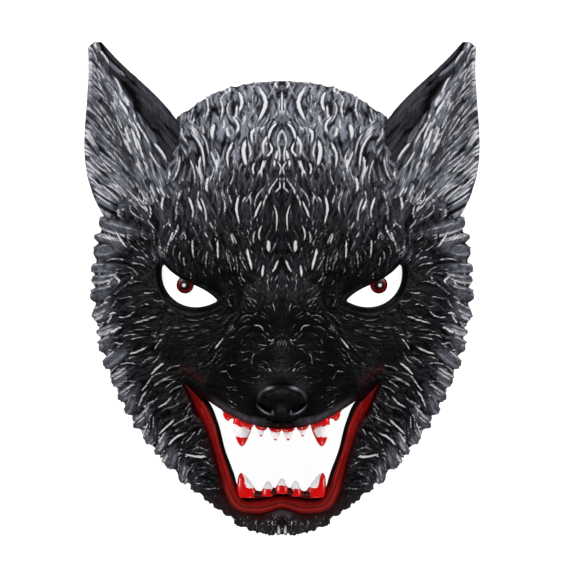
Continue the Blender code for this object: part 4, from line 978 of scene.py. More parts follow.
def ramp(tree, value, low, high, start=0.0, end=1.0):
    node = addNode(tree, "ShaderNodeMapRange", {0: value, 1: low, 2: high, 3: start, 4: end}, interpolation_type="SMOOTHSTEP")
    return node.outputs[0]


def newMaterial(name, settings):
    material = bpy.data.materials.new(name)
    material.use_nodes = True
    shader = material.node_tree.nodes["Principled BSDF"]
    for key, value in settings.items():
        shader.inputs[key].default_value = value
    return material, material.node_tree, shader


def newGroup(name, inputs, outputs):
    group = bpy.data.node_groups.new(name, "ShaderNodeTree")
    for key, kind, default in inputs:
        socket = group.interface.new_socket(name=key, in_out="INPUT", socket_type=kind)
        if default is not None:
            socket.default_value = default
    for key, kind in outputs:
        group.interface.new_socket(name=key, in_out="OUTPUT", socket_type=kind)
    return group, group.nodes.new("NodeGroupInput"), group.nodes.new("NodeGroupOutput")


# fine strands: noise drawn out along the second coordinate, as a mask and a height
def strandGroup():
    group, given, out = newGroup(
        "fineStrands",
        [("Place", "NodeSocketVector", None), ("Across", "NodeSocketFloat", 1.0), ("Along", "NodeSocketFloat", 0.1)],
        [("Strands", "NodeSocketFloat"), ("Patches", "NodeSocketFloat")],
    )
    parts = addNode(group, "ShaderNodeSeparateXYZ", {0: given.outputs["Place"]})
    across = mathNode(group, "MULTIPLY", parts.outputs[0], given.outputs["Across"])
    along = mathNode(group, "MULTIPLY", parts.outputs[1], given.outputs["Along"])
    drawn = addNode(group, "ShaderNodeCombineXYZ", {0: across, 1: along, 2: parts.outputs[2]})
    fine = addNode(group, "ShaderNodeTexNoise", {"Vector": drawn.outputs[0], "Scale": 1.0, "Detail": 3.0, "Roughness": 0.62})
    wide = addNode(group, "ShaderNodeTexNoise", {"Vector": given.outputs["Place"], "Scale": 0.09, "Detail": 2.0})
    group.links.new(ramp(group, fine.outputs[0], 0.34, 0.66), out.inputs["Strands"])
    group.links.new(wide.outputs[0], out.inputs["Patches"])
    return group


# grain of sprayed paint: fine bumps in object space
def grainGroup():
    group, given, out = newGroup(
        "paintGrain",
        [("Scale", "NodeSocketFloat", 900.0), ("Mottle", "NodeSocketFloat", 90.0)],
        [("Height", "NodeSocketFloat"), ("Patches", "NodeSocketFloat")],
    )
    place = addNode(group, "ShaderNodeTexCoord").outputs["Object"]
    fine = addNode(group, "ShaderNodeTexNoise", {"Vector": place, "Scale": given.outputs["Scale"], "Detail": 3.0})
    wide = addNode(group, "ShaderNodeTexNoise", {"Vector": place, "Scale": given.outputs["Mottle"], "Detail": 3.0})
    group.links.new(fine.outputs[0], out.inputs["Height"])
    group.links.new(wide.outputs[0], out.inputs["Patches"])
    return group


fineStrands, paintGrain = strandGroup(), grainGroup()

furLook = {
    "black": (0.0016, 0.0016, 0.0019, 1),
    "blueGrey": (0.185, 0.192, 0.235, 1),
    "silver": (0.62, 0.62, 0.64, 1),
    "red": (0.060, 0.001, 0.0006, 1),
    "roughness": 0.36,
    "strandBump": 0.14,
}


def furMaterial():
    material, tree, shader = newMaterial("paintedFur", {"Roughness": furLook["roughness"], "Specular IOR Level": 0.065})
    read = {}
    for key in ("tone", "silver", "smear"):
        read[key] = addNode(tree, "ShaderNodeAttribute", attribute_name=key).outputs["Fac"]
    place = addNode(tree, "ShaderNodeAttribute", attribute_name="pelt").outputs["Vector"]
    strands = addNode(tree, "ShaderNodeGroup", node_tree=fineStrands)
    tree.links.new(place, strands.inputs["Place"])
    strands.inputs["Across"].default_value = 1.3
    strands.inputs["Along"].default_value = 0.16
    line, patch = strands.outputs["Strands"], strands.outputs["Patches"]
    # the blue-grey tone, with its painted shade of roots, grooves and beds, broken up by strands and patches
    toneAndShade = mathNode(tree, "MULTIPLY", read["tone"], mathNode(tree, "ADD", mathNode(tree, "MULTIPLY", line, 0.75), 0.45))
    toneAndShade = mathNode(tree, "MULTIPLY", toneAndShade, mathNode(tree, "ADD", patch, 0.5), clamp=True)
    broken = mathNode(tree, "SUBTRACT", mathNode(tree, "MULTIPLY", read["silver"], 1.45), mathNode(tree, "MULTIPLY", line, 0.42))
    dry = ramp(tree, broken, 0.22, 0.85)
    colour = mixColour(tree, toneAndShade, furLook["black"], furLook["blueGrey"])
    colour = mixColour(tree, dry, colour, furLook["silver"])
    wiped = mathNode(tree, "MULTIPLY", read["smear"], mathNode(tree, "ADD", mathNode(tree, "MULTIPLY", line, 0.6), 0.4))
    colour = mixColour(tree, wiped, colour, furLook["red"])
    tree.links.new(colour, shader.inputs["Base Color"])
    relief = addNode(tree, "ShaderNodeBump", {"Strength": furLook["strandBump"], "Distance": 0.0004, "Height": line})
    tree.links.new(relief.outputs[0], shader.inputs["Normal"])
    return material


def innerMaterial():
    material, tree, shader = newMaterial("foamInside", {"Roughness": 0.85})
    grain = addNode(tree, "ShaderNodeGroup", node_tree=paintGrain)
    colour = mixColour(tree, grain.outputs["Patches"], (0.012, 0.012, 0.014, 1), (0.035, 0.035, 0.04, 1))
    tree.links.new(colour, shader.inputs["Base Color"])
    relief = addNode(tree, "ShaderNodeBump", {"Strength": 0.5, "Distance": 0.0004, "Height": grain.outputs["Height"]})
    tree.links.new(relief.outputs[0], shader.inputs["Normal"])
    return material


paintedFur, foamInside = furMaterial(), innerMaterial()
print("fur material made")

# the face, in four pieces that share their edges
normals = pointNormals(allPoints, faceSets)
mirroredColumn = np.minimum(np.arange(columns), columns - np.arange(columns))
peltAcross = np.broadcast_to(mirroredColumn * 0.38, peltLength.shape)
peltPlace = np.stack([peltAcross, peltLength, np.zeros_like(peltLength)], axis=-1).reshape(-1, 3)
attributes = {
    "tone": np.concatenate([[0], tone.ravel()]),
    "silver": np.concatenate([[0], silver.ravel()]),
    "smear": np.concatenate([[0], smear.ravel()]),
    "pelt": np.vstack([(0, 0, 0), peltPlace]),
}
faceSectors = {"face_crown": (-190, 190), "face_right_side": (190, 450), "face_jaw": (450, 750), "face_left_side": (750, 1010)}
for name, (start, end) in faceSectors.items():
    sector = []
    for faces in faceSets:
        column = (faces[:, 1] - 1) % columns
        sector.append(faces[(column - start) % columns < end - start])
    piece = meshPiece(name, allPoints, sector, paintedFur, attributes, normals)
    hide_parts("face_shell")
    print(name, sum(len(f) * (f.shape[1] - 2) for f in sector), "triangles")

# the inside of the shell: the same rings, coarser and a wall's thickness under the smooth face
innerStep = columns // faceGrid["innerColumns"]
innerRings = np.unique(np.concatenate([np.arange(3, rings - 1, 4), [rings - 2]]))
innerXy = gridXy[innerRings][:, ::innerStep]
innerSkin = np.dstack([innerXy, faceHeight(innerXy[..., 0], innerXy[..., 1])])
innerNormal = skinNormal[innerRings][:, ::innerStep]
innerPoints = innerSkin - innerNormal * head["wall"]
innerPoints[..., 2] = np.maximum(innerPoints[..., 2], 2.0)
lastRing = up[:, ::innerStep]
innerPoints = np.concatenate([innerPoints, lastRing])
innerEye, innerEyeFoot = loopDistance(np.abs(innerPoints[..., 0]), innerPoints[..., 1], eyeLoop)
innerMouth, innerMouthFoot = loopDistance(innerPoints[..., 0], innerPoints[..., 1], mouthLoop)
innerSide = np.where(innerPoints[..., 0] < 0, -1, 1)
innerHole = (innerEye < 0) | (innerMouth < 0)
innerCount = faceGrid["innerColumns"]
innerNumber = np.arange(len(innerPoints) * innerCount).reshape(-1, innerCount) + 1
a, b = innerNumber[:-1], innerNumber[1:]
innerFaces = np.stack([a, b, np.roll(b, -1, 1), np.roll(a, -1, 1)], axis=-1).reshape(-1, 4)
innerFan = np.stack([np.zeros(innerCount, int), innerNumber[0], np.roll(innerNumber[0], -1)], axis=1)
holeFlat = np.concatenate([[False], innerHole.ravel()])
snapped = innerPoints.copy()
snapped[..., 0] = np.where(innerEye < 0, innerEyeFoot[..., 0] * innerSide, snapped[..., 0])
snapped[..., 1] = np.where(innerEye < 0, innerEyeFoot[..., 1], snapped[..., 1])
snapped[..., :2] = np.where((innerMouth < 0)[..., None], innerMouthFoot, snapped[..., :2])
snapped[..., 2] = np.maximum(snapped[..., 2] - 3.6 * softStep(innerEye, 4.0, 0.5), 1.0)  # clear of the eyeballs
innerAll = np.vstack([pole - (0, 0, head["wall"]), snapped.reshape(-1, 3)])
innerSets = [innerFan, innerFaces[~holeFlat[innerFaces].all(axis=1)]]
piece = meshPiece("face_inside", innerAll, innerSets, foamInside, flip=True)
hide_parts("face_shell")
print("face done")

# ears
ear = {
    "length": 73.0,
    "halfWidth": 31.0,
    "lean": 22.0,  # degrees, outwards
    "tipAcross": 1.01,
    "tipUp": 0.9927,
    "ridge": 17.0,
    "rootLevel": 23.0,
    "tipLevel": 20.0,
    "wall": 3.6,
    "rings": 200,
    "frontPoints": 150,
    "backPoints": 44,
    "edgePoints": 5,
    "cell": 0.3,
}
# along the ear, then its outer and inner edge, as shares of its length and half width
earRows = (
    ("sunk root", -0.34, 0.92, -0.96),
    ("root", -0.04, 0.99, -0.96),
    ("lower", 0.27, 0.85, -0.80),
    ("middle", 0.44, 0.68, -0.66),
    ("upper", 0.63, 0.46, -0.46),
    ("under tip", 0.83, 0.24, -0.24),
    ("tip", 1.00, 0.09, -0.09),
)
# from the inner edge, -1, to the outer one, 1, and height as a share of the ridge
earProfile = (
    ("inner edge", -1.00, -0.30),
    ("back", -0.72, 0.30),
    ("back rise", -0.40, 0.76),
    ("ridge", -0.06, 1.00),
    ("ridge front", 0.10, 0.86),
    ("into the cup", 0.26, 0.22),
    ("cup", 0.50, -0.10),
    ("cup wall", 0.78, 0.02),
    ("outer edge", 1.00, 0.26),
)
earAxis = np.array([math.sin(math.radians(ear["lean"])), math.cos(math.radians(ear["lean"]))])
earTip = np.array([ear["tipAcross"] * halfWidth, ear["tipUp"] * halfHeight])


# place across the ear, -1 to 1, of a point given by lengths across and along it
def earShare(across, along):
    at = [row[1] for row in earRows]
    outer = smoothThrough(along / ear["length"], at, [row[2] for row in earRows])
    inner = smoothThrough(along / ear["length"], at, [row[3] for row in earRows])
    return (across / ear["halfWidth"] - inner) / (outer - inner) * 2 - 1


# strokes run down the ear: along the inner edge on its back, slanting in from the outer edge in its cup
def earHeading(place):
    share = earShare(place[:, 0], place[:, 1])
    cup = softStep(share, 0.05, 0.45)
    low = softStep(place[:, 1], 28, 0)
    slant = np.radians(20 * (1 - softStep(share, -0.7, -0.1)) + 3 + cup * (18 + 10 * low))
    return np.stack([-np.sin(slant), -np.cos(slant)], axis=1)


# kind of stroke: length, width, height, tone, silver, how many
earCoat = {
    "back": (22.0, 3.0, 0.8, 0.22, 0.0, 2.4),
    "ridge": (16.0, 3.0, 1.0, 0.85, 0.62, 2.8),
    "cup": (17.0, 2.0, 0.9, 1.08, 0.66, 2.2),
}


def layEarCoat():
    canvas = Canvas((-36, -32), (38, 80), ear["cell"])
    u, v = np.meshgrid(np.arange(-34, 36, 1.1), np.arange(-30, 90, 1.1), indexing="ij")
    seeds = np.stack([u.ravel(), v.ravel()], axis=1)
    seeds = seeds + rng.uniform(-0.5, 0.5, seeds.shape)
    share = earShare(seeds[:, 0], seeds[:, 1])
    isCup = softStep(share, 0.02, 0.22)
    isRidge = bump(share, -0.08, 0.26)
    for kind, (length, width, height, tone, silver, cover) in earCoat.items():
        belongs = {"cup": isCup, "ridge": isRidge, "back": (1 - isCup) * (1 - isRidge)}[kind]
        keep = rng.random(len(seeds)) < belongs * cover * 1.21 / (length * width * 0.62)
        chosen = seeds[keep]
        long = length * rng.uniform(0.6, 1.3, len(chosen))
        paths = growPaths(chosen, long, 0.16, 5, earHeading)
        for path in paths:
            isBright = rng.random() < silver
            wide, rise = width * rng.uniform(0.7, 1.3), rng.uniform(0.85, 1.25) if isBright else rng.uniform(0.5, 1.0)
            # painted shade: a dark, wider and lower stroke under each bright stroke, as shade round it
            if isBright:
                canvas.lay(path, 1.9 * wide, 0.7 * rise * height, 0.14 * tone, 0.0, 0.0, 0.4, root=0.7)
            foot = 0.2 * float(softStep(path[0, 1], 14, -8)) * (kind == "cup")
            deep = bump(earShare(path[2:3, 0], path[2:3, 1])[0], 0.26, 0.18) * (kind == "cup")
            shade = tone * rng.uniform(0.6, 1.1) * min(1.2, 1.9 * rise - 0.5) * (1 - 0.82 * deep) + foot
            glint = (0.40 + 0.6 * rng.random() if isBright else rng.uniform(0, 0.30)) * (1 - 0.3 * deep)
            canvas.lay(path, wide, rise * height, shade, glint, rng.uniform(-0.3, 0.3), 0.34 + 0.10 * width, root=0.6)
    return canvas


# the ear as a tube of rings: its front by the profile, a rounded edge, its back, a rounded edge
def makeEars():
    canvas = layEarCoat()
    at = [row[1] for row in earRows]
    along = np.linspace(at[0], at[-1], ear["rings"])[:, None]
    outer = smoothThrough(along, at, [row[2] for row in earRows])
    inner = smoothThrough(along, at, [row[3] for row in earRows])
    front = np.linspace(-1, 1, ear["frontPoints"])
    back = np.linspace(1, -1, ear["backPoints"])
    turn = np.linspace(0, math.pi, ear["edgePoints"] + 2)[1:-1]
    share = np.concatenate([front, np.ones(len(turn)), back, -np.ones(len(turn))])
    drop = np.concatenate([0 * front, (1 - np.cos(turn)) / 2, 1 + 0 * back, (1 + np.cos(turn)) / 2])
    out = np.concatenate([0 * front, np.sin(turn), 0 * back, -np.sin(turn)])
    height = smoothThrough(share, [row[1] for row in earProfile], [row[2] for row in earProfile])
    across = (inner + (outer - inner) * (share + 1) / 2) * ear["halfWidth"] + out * 0.9
    long = along * ear["length"] + 0 * across
    outwards = np.array([earAxis[1], -earAxis[0]])
    xy = earTip + (long - ear["length"])[..., None] * earAxis + across[..., None] * outwards
    up = np.maximum(along, 0)
    level = ear["rootLevel"] + (ear["tipLevel"] - ear["rootLevel"]) * up
    z = level + ear["ridge"] * (1 - 0.93 * up**2.2) * height
    rounding = 1 - 0.75 * softStep(along, 0.93, 1.0)
    z = z - drop * ear["wall"] * rounding
    seat = faceHeight(xy[..., 0], xy[..., 1]) + 1.6
    join = softStep(along, 0.06, -0.26) * (1 - drop) * softStep(share, -1.0, -0.6)
    join = join * softStep(reach(xy[..., 0], xy[..., 1]), 0.99, 0.90)
    z = z * (1 - join) + seat * join - 4.0 * softStep(along, -0.24, -0.34)
    z = z - 13 * softStep(along, -0.06, -0.34) * softStep(share, 0.3, 1.0)
    where = np.dstack([xy, z])
    slopeAlong, slopeRound = np.gradient(where, axis=0), np.gradient(where, axis=1)
    normal = np.cross(slopeRound, slopeAlong)
    normal /= np.maximum(np.linalg.norm(normal, axis=-1, keepdims=True), 1e-9)
    isFront = drop < 0.6
    lift = canvas.read(canvas.height, across, long) * isFront
    flatEdge = softStep(1 - np.abs(share), 0.0, 0.04)
    where = where + normal * (lift * (0.4 + 0.6 * flatEdge))[..., None]
    tone = canvas.read(canvas.tone, across, long)
    silver = canvas.read(canvas.silver, across, long) * isFront
    tone = np.where(isFront, tone, 0.15)
    rings, count = z.shape
    number = np.arange(rings * count).reshape(rings, count)
    a, b = number[:-1], number[1:]
    quads = np.stack([a, np.roll(a, -1, 1), np.roll(b, -1, 1), b], axis=-1).reshape(-1, 4)
    centres = np.array([where[0].mean(0), where[-1].mean(0) + (0.5, 1.0, 0)])
    low, high = number[0], number[-1]
    foot = np.stack([np.full(count, rings * count), np.roll(low, -1), low], axis=1)
    top = np.stack([np.full(count, rings * count + 1), high, np.roll(high, -1)], axis=1)
    allWhere = np.vstack([where.reshape(-1, 3), centres])
    ends = np.zeros(2)
    fields = {
        "tone": np.concatenate([tone.ravel(), ends]),
        "silver": np.concatenate([silver.ravel(), ends]),
        "smear": np.zeros(len(allWhere)),
        "pelt": np.vstack([np.stack([across * 1.2, long, 0 * long], axis=-1).reshape(-1, 3), np.zeros((2, 3))]),
    }
    for side, name in ((1, "right_ear"), (-1, "left_ear")):
        sets = [quads, foot, top]
        placed = allWhere * (side, 1, 1)
        normals = pointNormals(placed, sets) * side
        piece = meshPiece(f"{name}_fur", placed, sets, paintedFur, fields, normals, flip=side < 0)
        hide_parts(name)


makeEars()
print("ears done")


# round pieces: rings from a middle out to a loop, a wall down, and a flat back
def discPiece(name, loop, ringCount, heightOf, wall, material, fieldsOf=None):
    middle = loop.mean(axis=0)
    share = np.linspace(0, 1, ringCount + 1)[1:, None, None]
    xy = middle + share * (loop - middle)
    z = heightOf(xy[..., 0], xy[..., 1], np.broadcast_to(share[..., 0], xy.shape[:2]))
    top = np.dstack([xy, z])
    foot = top[-1:] - (0, 0, wall)
    grid = np.concatenate([top, foot])
    rings, count = grid.shape[:2]
    centre = np.array([*middle, float(heightOf(middle[:1], middle[1:], np.zeros(1))[0])])
    where = np.vstack([centre, grid.reshape(-1, 3), [*middle, foot[..., 2].min()]])
    number = np.arange(rings * count).reshape(rings, count) + 1
    a, b = number[:-1], number[1:]
    quads = np.stack([a, b, np.roll(b, -1, 1), np.roll(a, -1, 1)], axis=-1).reshape(-1, 4)
    fan = np.stack([np.zeros(count, int), number[0], np.roll(number[0], -1)], axis=1)
    base = np.stack([np.full(count, len(where) - 1), np.roll(number[-1], -1), number[-1]], axis=1)
    turning = loop - middle
    area = (turning[:, 0] * np.roll(turning[:, 1], -1) - turning[:, 1] * np.roll(turning[:, 0], -1)).sum()
    fields = None
    if fieldsOf:
        radial = np.concatenate([[0], np.broadcast_to(share[..., 0], (ringCount, count)).ravel(), np.ones(count + 1)])
        fields = fieldsOf(where, radial)
    piece = meshPiece(name, where, [fan, quads, base], material, fields, flip=area < 0)
    return piece


def grainedMaterial(name, settings, first, second, scale, strength, distance, mottle=90.0):
    material, tree, shader = newMaterial(name, settings)
    grain = addNode(tree, "ShaderNodeGroup", node_tree=paintGrain)
    grain.inputs["Scale"].default_value = scale
    grain.inputs["Mottle"].default_value = mottle
    patches = ramp(tree, grain.outputs["Patches"], 0.35, 0.65)
    colour = mixColour(tree, patches, first, second)
    relief = addNode(tree, "ShaderNodeBump", {"Strength": strength, "Distance": distance, "Height": grain.outputs["Height"]})
    tree.links.new(relief.outputs[0], shader.inputs["Normal"])
    return material, tree, shader, colour


def attributeOf(tree, name):
    return addNode(tree, "ShaderNodeAttribute", attribute_name=name).outputs["Fac"]


# height of the eyeball: a plane that leans with the face, and a bulge
def eyeSurface(x, y, proud):
    step = eyes["width"] / 4
    here = float(faceHeight(eyeX, eyeY))
    slopeX = float(faceHeight(eyeX + step, eyeY) - faceHeight(eyeX - step, eyeY)) / (2 * step)
    slopeY = float(faceHeight(eyeX, eyeY + step) - faceHeight(eyeX, eyeY - step)) / (2 * step)
    dx, dy = np.abs(x) - eyeX, y - eyeY
    far = (dx / eyes["width"]) ** 2 + (dy / eyes["height"]) ** 2
    return here + slopeX * dx + slopeY * dy - eyes["recess"] + eyes["bulge"] * (0.25 - far) + proud


def eyeMaterial():
    material, tree, shader, colour = grainedMaterial(
        "eyeWhite", {"Roughness": 0.25}, (0.96, 0.96, 0.95, 1), (0.99, 0.99, 0.98, 1), 500, 0.1, 0.0002
    )
    shader.inputs["Emission Color"].default_value = (1, 1, 1, 1)
    shader.inputs["Emission Strength"].default_value = 0.85  # painted light: the glossy white paint glows, so the eyeball reads evenly white
    shade = attributeOf(tree, "shade")
    tree.links.new(mixColour(tree, shade, colour, (0.10, 0.10, 0.11, 1)), shader.inputs["Base Color"])
    return material


def irisMaterial():
    material, tree, shader, colour = grainedMaterial(
        "irisRed", {"Roughness": 0.3, "Specular IOR Level": 0.2}, (0.10, 0.001, 0.001, 1), (0.19, 0.002, 0.002, 1), 700, 0.1, 0.0002, 900
    )
    radial, paintedGlint = attributeOf(tree, "radial"), attributeOf(tree, "paintedGlint")
    colour = mixColour(tree, ramp(tree, radial, 0.68, 0.50), colour, (0.010, 0.002, 0.0015, 1))
    colour = mixColour(tree, ramp(tree, radial, 0.86, 0.97), colour, (0.03, 0.001, 0.001, 1))
    # painted highlight: the white glint dot on the pupil
    colour = mixColour(tree, paintedGlint, colour, (0.95, 0.95, 0.95, 1))
    tree.links.new(colour, shader.inputs["Base Color"])
    return material


def makeEyes():
    white, red = eyeMaterial(), irisMaterial()
    middle = eyeLoop.mean(axis=0)
    wide = middle + (eyeLoop - middle) * 1.07
    turn = np.linspace(0, 2 * math.pi, 72, endpoint=False)
    irisMiddle = np.array([eyeX + eyes["irisAcross"] * eyes["width"], eyeY + eyes["irisUp"] * eyes["height"]])
    circle = irisMiddle + np.stack([np.cos(turn), np.sin(turn)], axis=1) * eyes["irisRadius"]
    for side, name in ((1, "right"), (-1, "left")):
        piece = discPiece(
            f"{name}_eyeball", wide * (side, 1), 30, lambda x, y, share: eyeSurface(x, y, 0), 3.4, white,
            lambda where, radial: {"shade": 0.30 * softStep(radial, 0.935, 0.98)},
        )
        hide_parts(f"{name}_eye")
        # painted highlight: a small white glint dot beside the middle of the pupil
        paintedGlint = (irisMiddle + (0.6, -0.2)) * (side, 1)
        piece = discPiece(
            f"{name}_iris_disc", circle * (side, 1), 24,
            lambda x, y, share: eyeSurface(x, y, 0.35 + 1.1 * np.sqrt(np.clip(1 - share**2, 0, 1))), 1.2, red,
            lambda where, radial: {
                "radial": radial,
                "paintedGlint": softStep(np.hypot(where[:, 0] - paintedGlint[0], where[:, 1] - paintedGlint[1]), 1.25, 0.75),
            },
        )
        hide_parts(f"{name}_iris")


makeEyes()
print("eyes done")

# nose
nose = {
    "width": 28.5,
    "height": 20.0,
    "rise": 5.5,
    "nostrilAcross": 8.3,
    "nostrilDown": -3.0,
    "nostrilWidth": 5.4,
    "nostrilHeight": 2.1,
    "nostrilDepth": 4.2,
    "tilt": 0.42,
}


# a pillow over the muzzle, with comma-shaped nostrils, rims under them and a groove between
def noseHeight(x, y, share):
    dx, dy = np.abs(x), y - noseMiddle
    rise = nose["rise"] * (1 - 0.97 * share**3.4) ** 0.75
    over = dx - nose["nostrilAcross"]
    slant = dy - nose["nostrilDown"] - nose["tilt"] * over - 0.055 * over**2
    pit = np.hypot(over / nose["nostrilWidth"], slant / (nose["nostrilHeight"] * (1.0 - 0.06 * over)))
    rise = rise - nose["nostrilDepth"] * softStep(pit, 1.08, 0.55) * softStep(share, 1.0, 0.86)
    rise = rise + 0.4 * bump(slant, -2.6, 0.8) * bump(over, 1.2, 3.4) * (share < 0.97)
    rise = rise + 0.9 * bump(dx, 8.2, 3.6) * bump(dy, 5.6, 2.4)
    rise = rise - 0.3 * bump(dx, 0, 1.4) * softStep(dy, 1.0, -4.0) * softStep(share, 1.0, 0.9)
    rise = rise - 0.5 * bump(dx, 0, 3.0) * bump(dy, 4.5, 3.0)
    return faceHeight(x, y) + rise


def noseMaterial():
    material, tree, shader, colour = grainedMaterial(
        "noseLeather", {"Roughness": 0.42, "Specular IOR Level": 0.06}, (0.0015, 0.0015, 0.0018, 1), (0.004, 0.004, 0.005, 1), 1400, 0.0, 0.0002, 220
    )
    place = addNode(tree, "ShaderNodeTexCoord").outputs["Object"]
    cells = addNode(tree, "ShaderNodeTexVoronoi", {"Vector": place, "Scale": 1100.0}, feature="SMOOTH_F1")
    relief = addNode(tree, "ShaderNodeBump", {"Strength": 0.35, "Distance": 0.0003, "Height": cells.outputs["Distance"]}, invert=True)
    tree.links.new(relief.outputs[0], shader.inputs["Normal"])
    # painted highlights: lighter grey where the nose catches the light
    noseHighlight = attributeOf(tree, "noseHighlight")
    tree.links.new(mixColour(tree, noseHighlight, colour, (0.30, 0.31, 0.35, 1)), shader.inputs["Base Color"])
    return material


def makeNose():
    turn = np.linspace(0, 2 * math.pi, 200, endpoint=False)
    x = np.sign(np.cos(turn)) * np.abs(np.cos(turn)) ** 0.8
    y = np.sign(np.sin(turn)) * np.abs(np.sin(turn)) ** 0.8
    loop = np.stack([x * nose["width"] / 2 * (1 + 0.10 * y), noseMiddle + y * nose["height"] / 2], axis=1)

    # painted highlights: light arcs along the nose's top corners and thin light lines on the rims under the nostrils
    def paintNoseHighlights(where, radial):
        dx, dy = np.abs(where[:, 0]), where[:, 1] - noseMiddle
        over = dx - nose["nostrilAcross"]
        slant = dy - nose["nostrilDown"] - nose["tilt"] * over - 0.055 * over**2
        arc = bump(radial, 0.88, 0.06) * softStep(dy, 0.5, 5.0)
        corner = arc * (0.70 * bump(dx, 7.0, 2.0) + 0.12 * softStep(dx, 7.5, 11.0))
        rim = bump(slant, -2.3, 0.5) * bump(over, 1.0, 2.9) + 0.8 * bump(dx, 5.0, 0.5) * bump(slant, -1.2, 0.9)
        return {"noseHighlight": np.clip(corner + 0.8 * rim, 0, 1)}

    piece = discPiece("nose_leather", loop, 76, noseHeight, 3.0, noseMaterial(), paintNoseHighlights)
    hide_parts("nose")


makeNose()
print("nose done")

# lips: a profile carried along the two edges of the band
lipProfile = (
    # from the outer edge, 0, to the inner one, 1, and height over the face
    ("tucked under", -0.05, -2.2),
    ("outer edge", 0.00, -0.4),
    ("outer roll", 0.13, 1.3),
    ("outer crest", 0.27, 2.0),
    ("valley", 0.42, 1.5),
    ("inner crest", 0.56, 2.2),
    ("falling", 0.70, 1.3),
    ("black edge", 0.82, -0.6),
    ("inner wall", 0.94, -3.2),
    ("inner edge", 1.00, -6.5),
    ("underneath", 0.70, -8.0),
    ("back", 0.20, -6.5),
)


def lipMaterial():
    material, tree, shader, colour = grainedMaterial(
        "lipPaint", {"Roughness": 0.36, "Specular IOR Level": 0.06}, (0.110, 0.0008, 0.0006, 1), (0.175, 0.0012, 0.0010, 1), 800, 0.25, 0.0003, 140
    )
    crest, flank = attributeOf(tree, "crest"), attributeOf(tree, "flank")
    # crest is a painted highlight on the rolls; flank is the black inner flank, with painted shade at the outer edge
    # and in the valley
    colour = mixColour(tree, crest, colour, (0.32, 0.010, 0.008, 1))
    colour = mixColour(tree, flank, colour, (0.004, 0.003, 0.003, 1))
    tree.links.new(colour, shader.inputs["Base Color"])
    return material


def makeLips():
    stations, around = 460, 44
    outer, inner = lipEdges(stations)
    upper = upperEdge(200)
    limit = np.interp(inner[:, 0], upper[:, 0], upper[:, 1]) + 0.6  # tucked under the upper lip
    inner[:, 1] = np.minimum(inner[:, 1], limit)
    run = np.linspace(0, 1, len(lipProfile))
    at = np.linspace(0, 1, around, endpoint=False)
    share = smoothThrough(at, run, [row[1] for row in lipProfile])
    rise = smoothThrough(at, run, [row[2] for row in lipProfile])
    xy = outer[:, None] + share[:, None] * (inner - outer)[:, None]
    width = np.linalg.norm(inner - outer, axis=1)[:, None]
    size = np.clip(width / 5.0, 0.12, 1.0)
    ripple = 0.25 * np.sin(np.linspace(0, 95, stations))[:, None] * bump(share, 0.3, 0.3)
    depth = np.where(rise < -3, rise, rise * size)
    z = faceHeight(xy[..., 0], xy[..., 1]) + depth + ripple * size
    where = np.dstack([xy, z])
    rings, count = z.shape
    number = np.arange(rings * count).reshape(rings, count)
    a, b = number[:-1], number[1:]
    quads = np.stack([a, b, np.roll(b, -1, 1), np.roll(a, -1, 1)], axis=-1).reshape(-1, 4)
    ends = np.stack([where[0].mean(0), where[-1].mean(0)])
    first = np.stack([np.full(count, rings * count), number[0], np.roll(number[0], -1)], axis=1)
    last = np.stack([np.full(count, rings * count + 1), np.roll(number[-1], -1), number[-1]], axis=1)
    atBottom = softStep(-xy[..., 1], 100, 112)
    shareHere = np.broadcast_to(share, z.shape)
    edgeOfRed = 0.67 + 0.17 * atBottom
    flank = softStep(shareHere, edgeOfRed, edgeOfRed + 0.08)
    # painted shade: black where the band dips under the fur at its outer edge
    flank = np.maximum(flank, softStep(shareHere, 0.05, -0.02))
    # painted highlight: lighter red on the crests of the two rolls
    crest = (0.8 - 0.45 * atBottom) * bump(shareHere, 0.54, 0.09) + (0.25 + 0.65 * atBottom) * bump(shareHere, 0.28, 0.08)
    # painted shade: darker in the valley between the rolls at the bottom
    flank = np.maximum(flank, 0.5 * atBottom * bump(shareHere, 0.43, 0.05))
    flank = np.maximum(flank, 0.6 * softStep(xy[..., 1], -66, -52))  # darker at the corners
    flank = np.where(np.broadcast_to(at, z.shape) > 0.80, 1, flank)
    fields = {
        "flank": np.concatenate([flank.ravel(), [1, 1]]),
        "crest": np.concatenate([np.clip(crest, 0, 1).ravel(), [0, 0]]),
    }
    piece = meshPiece("lip_band", np.vstack([where.reshape(-1, 3), ends]), [quads, first, last], lipMaterial(), fields)
    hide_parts("lips")


makeLips()
print("lips done")

# teeth and gums
teeth = {"length": 12.2, "width": 10.0, "depth": 5.2}
# across as a share of half the gape, length and width as shares of the largest, lean in degrees,
# how far the red reaches up from the root, and where it starts again towards the tip
upperTeeth = (
    ("upper_incisor", 0.064, 0.41, 0.50, 0.0, 0.16, 0.80),
    ("upper_side_incisor", 0.212, 0.31, 0.40, 0.0, 0.20, 0.78),
    ("upper_canine", 0.392, 1.00, 1.00, 3.0, 0.31, 0.63),
    ("upper_premolar", 0.552, 0.21, 0.46, 0.0, 0.90, 1.00),
)
lowerTeeth = (
    ("lower_incisor", 0.000, 0.60, 0.66, 0.0, 0.52, 1.10),
    ("lower_side_incisor", 0.140, 0.57, 0.64, 0.0, 0.50, 1.10),
    ("lower_canine", 0.332, 0.92, 1.00, 18.0, 0.40, 1.10),
)


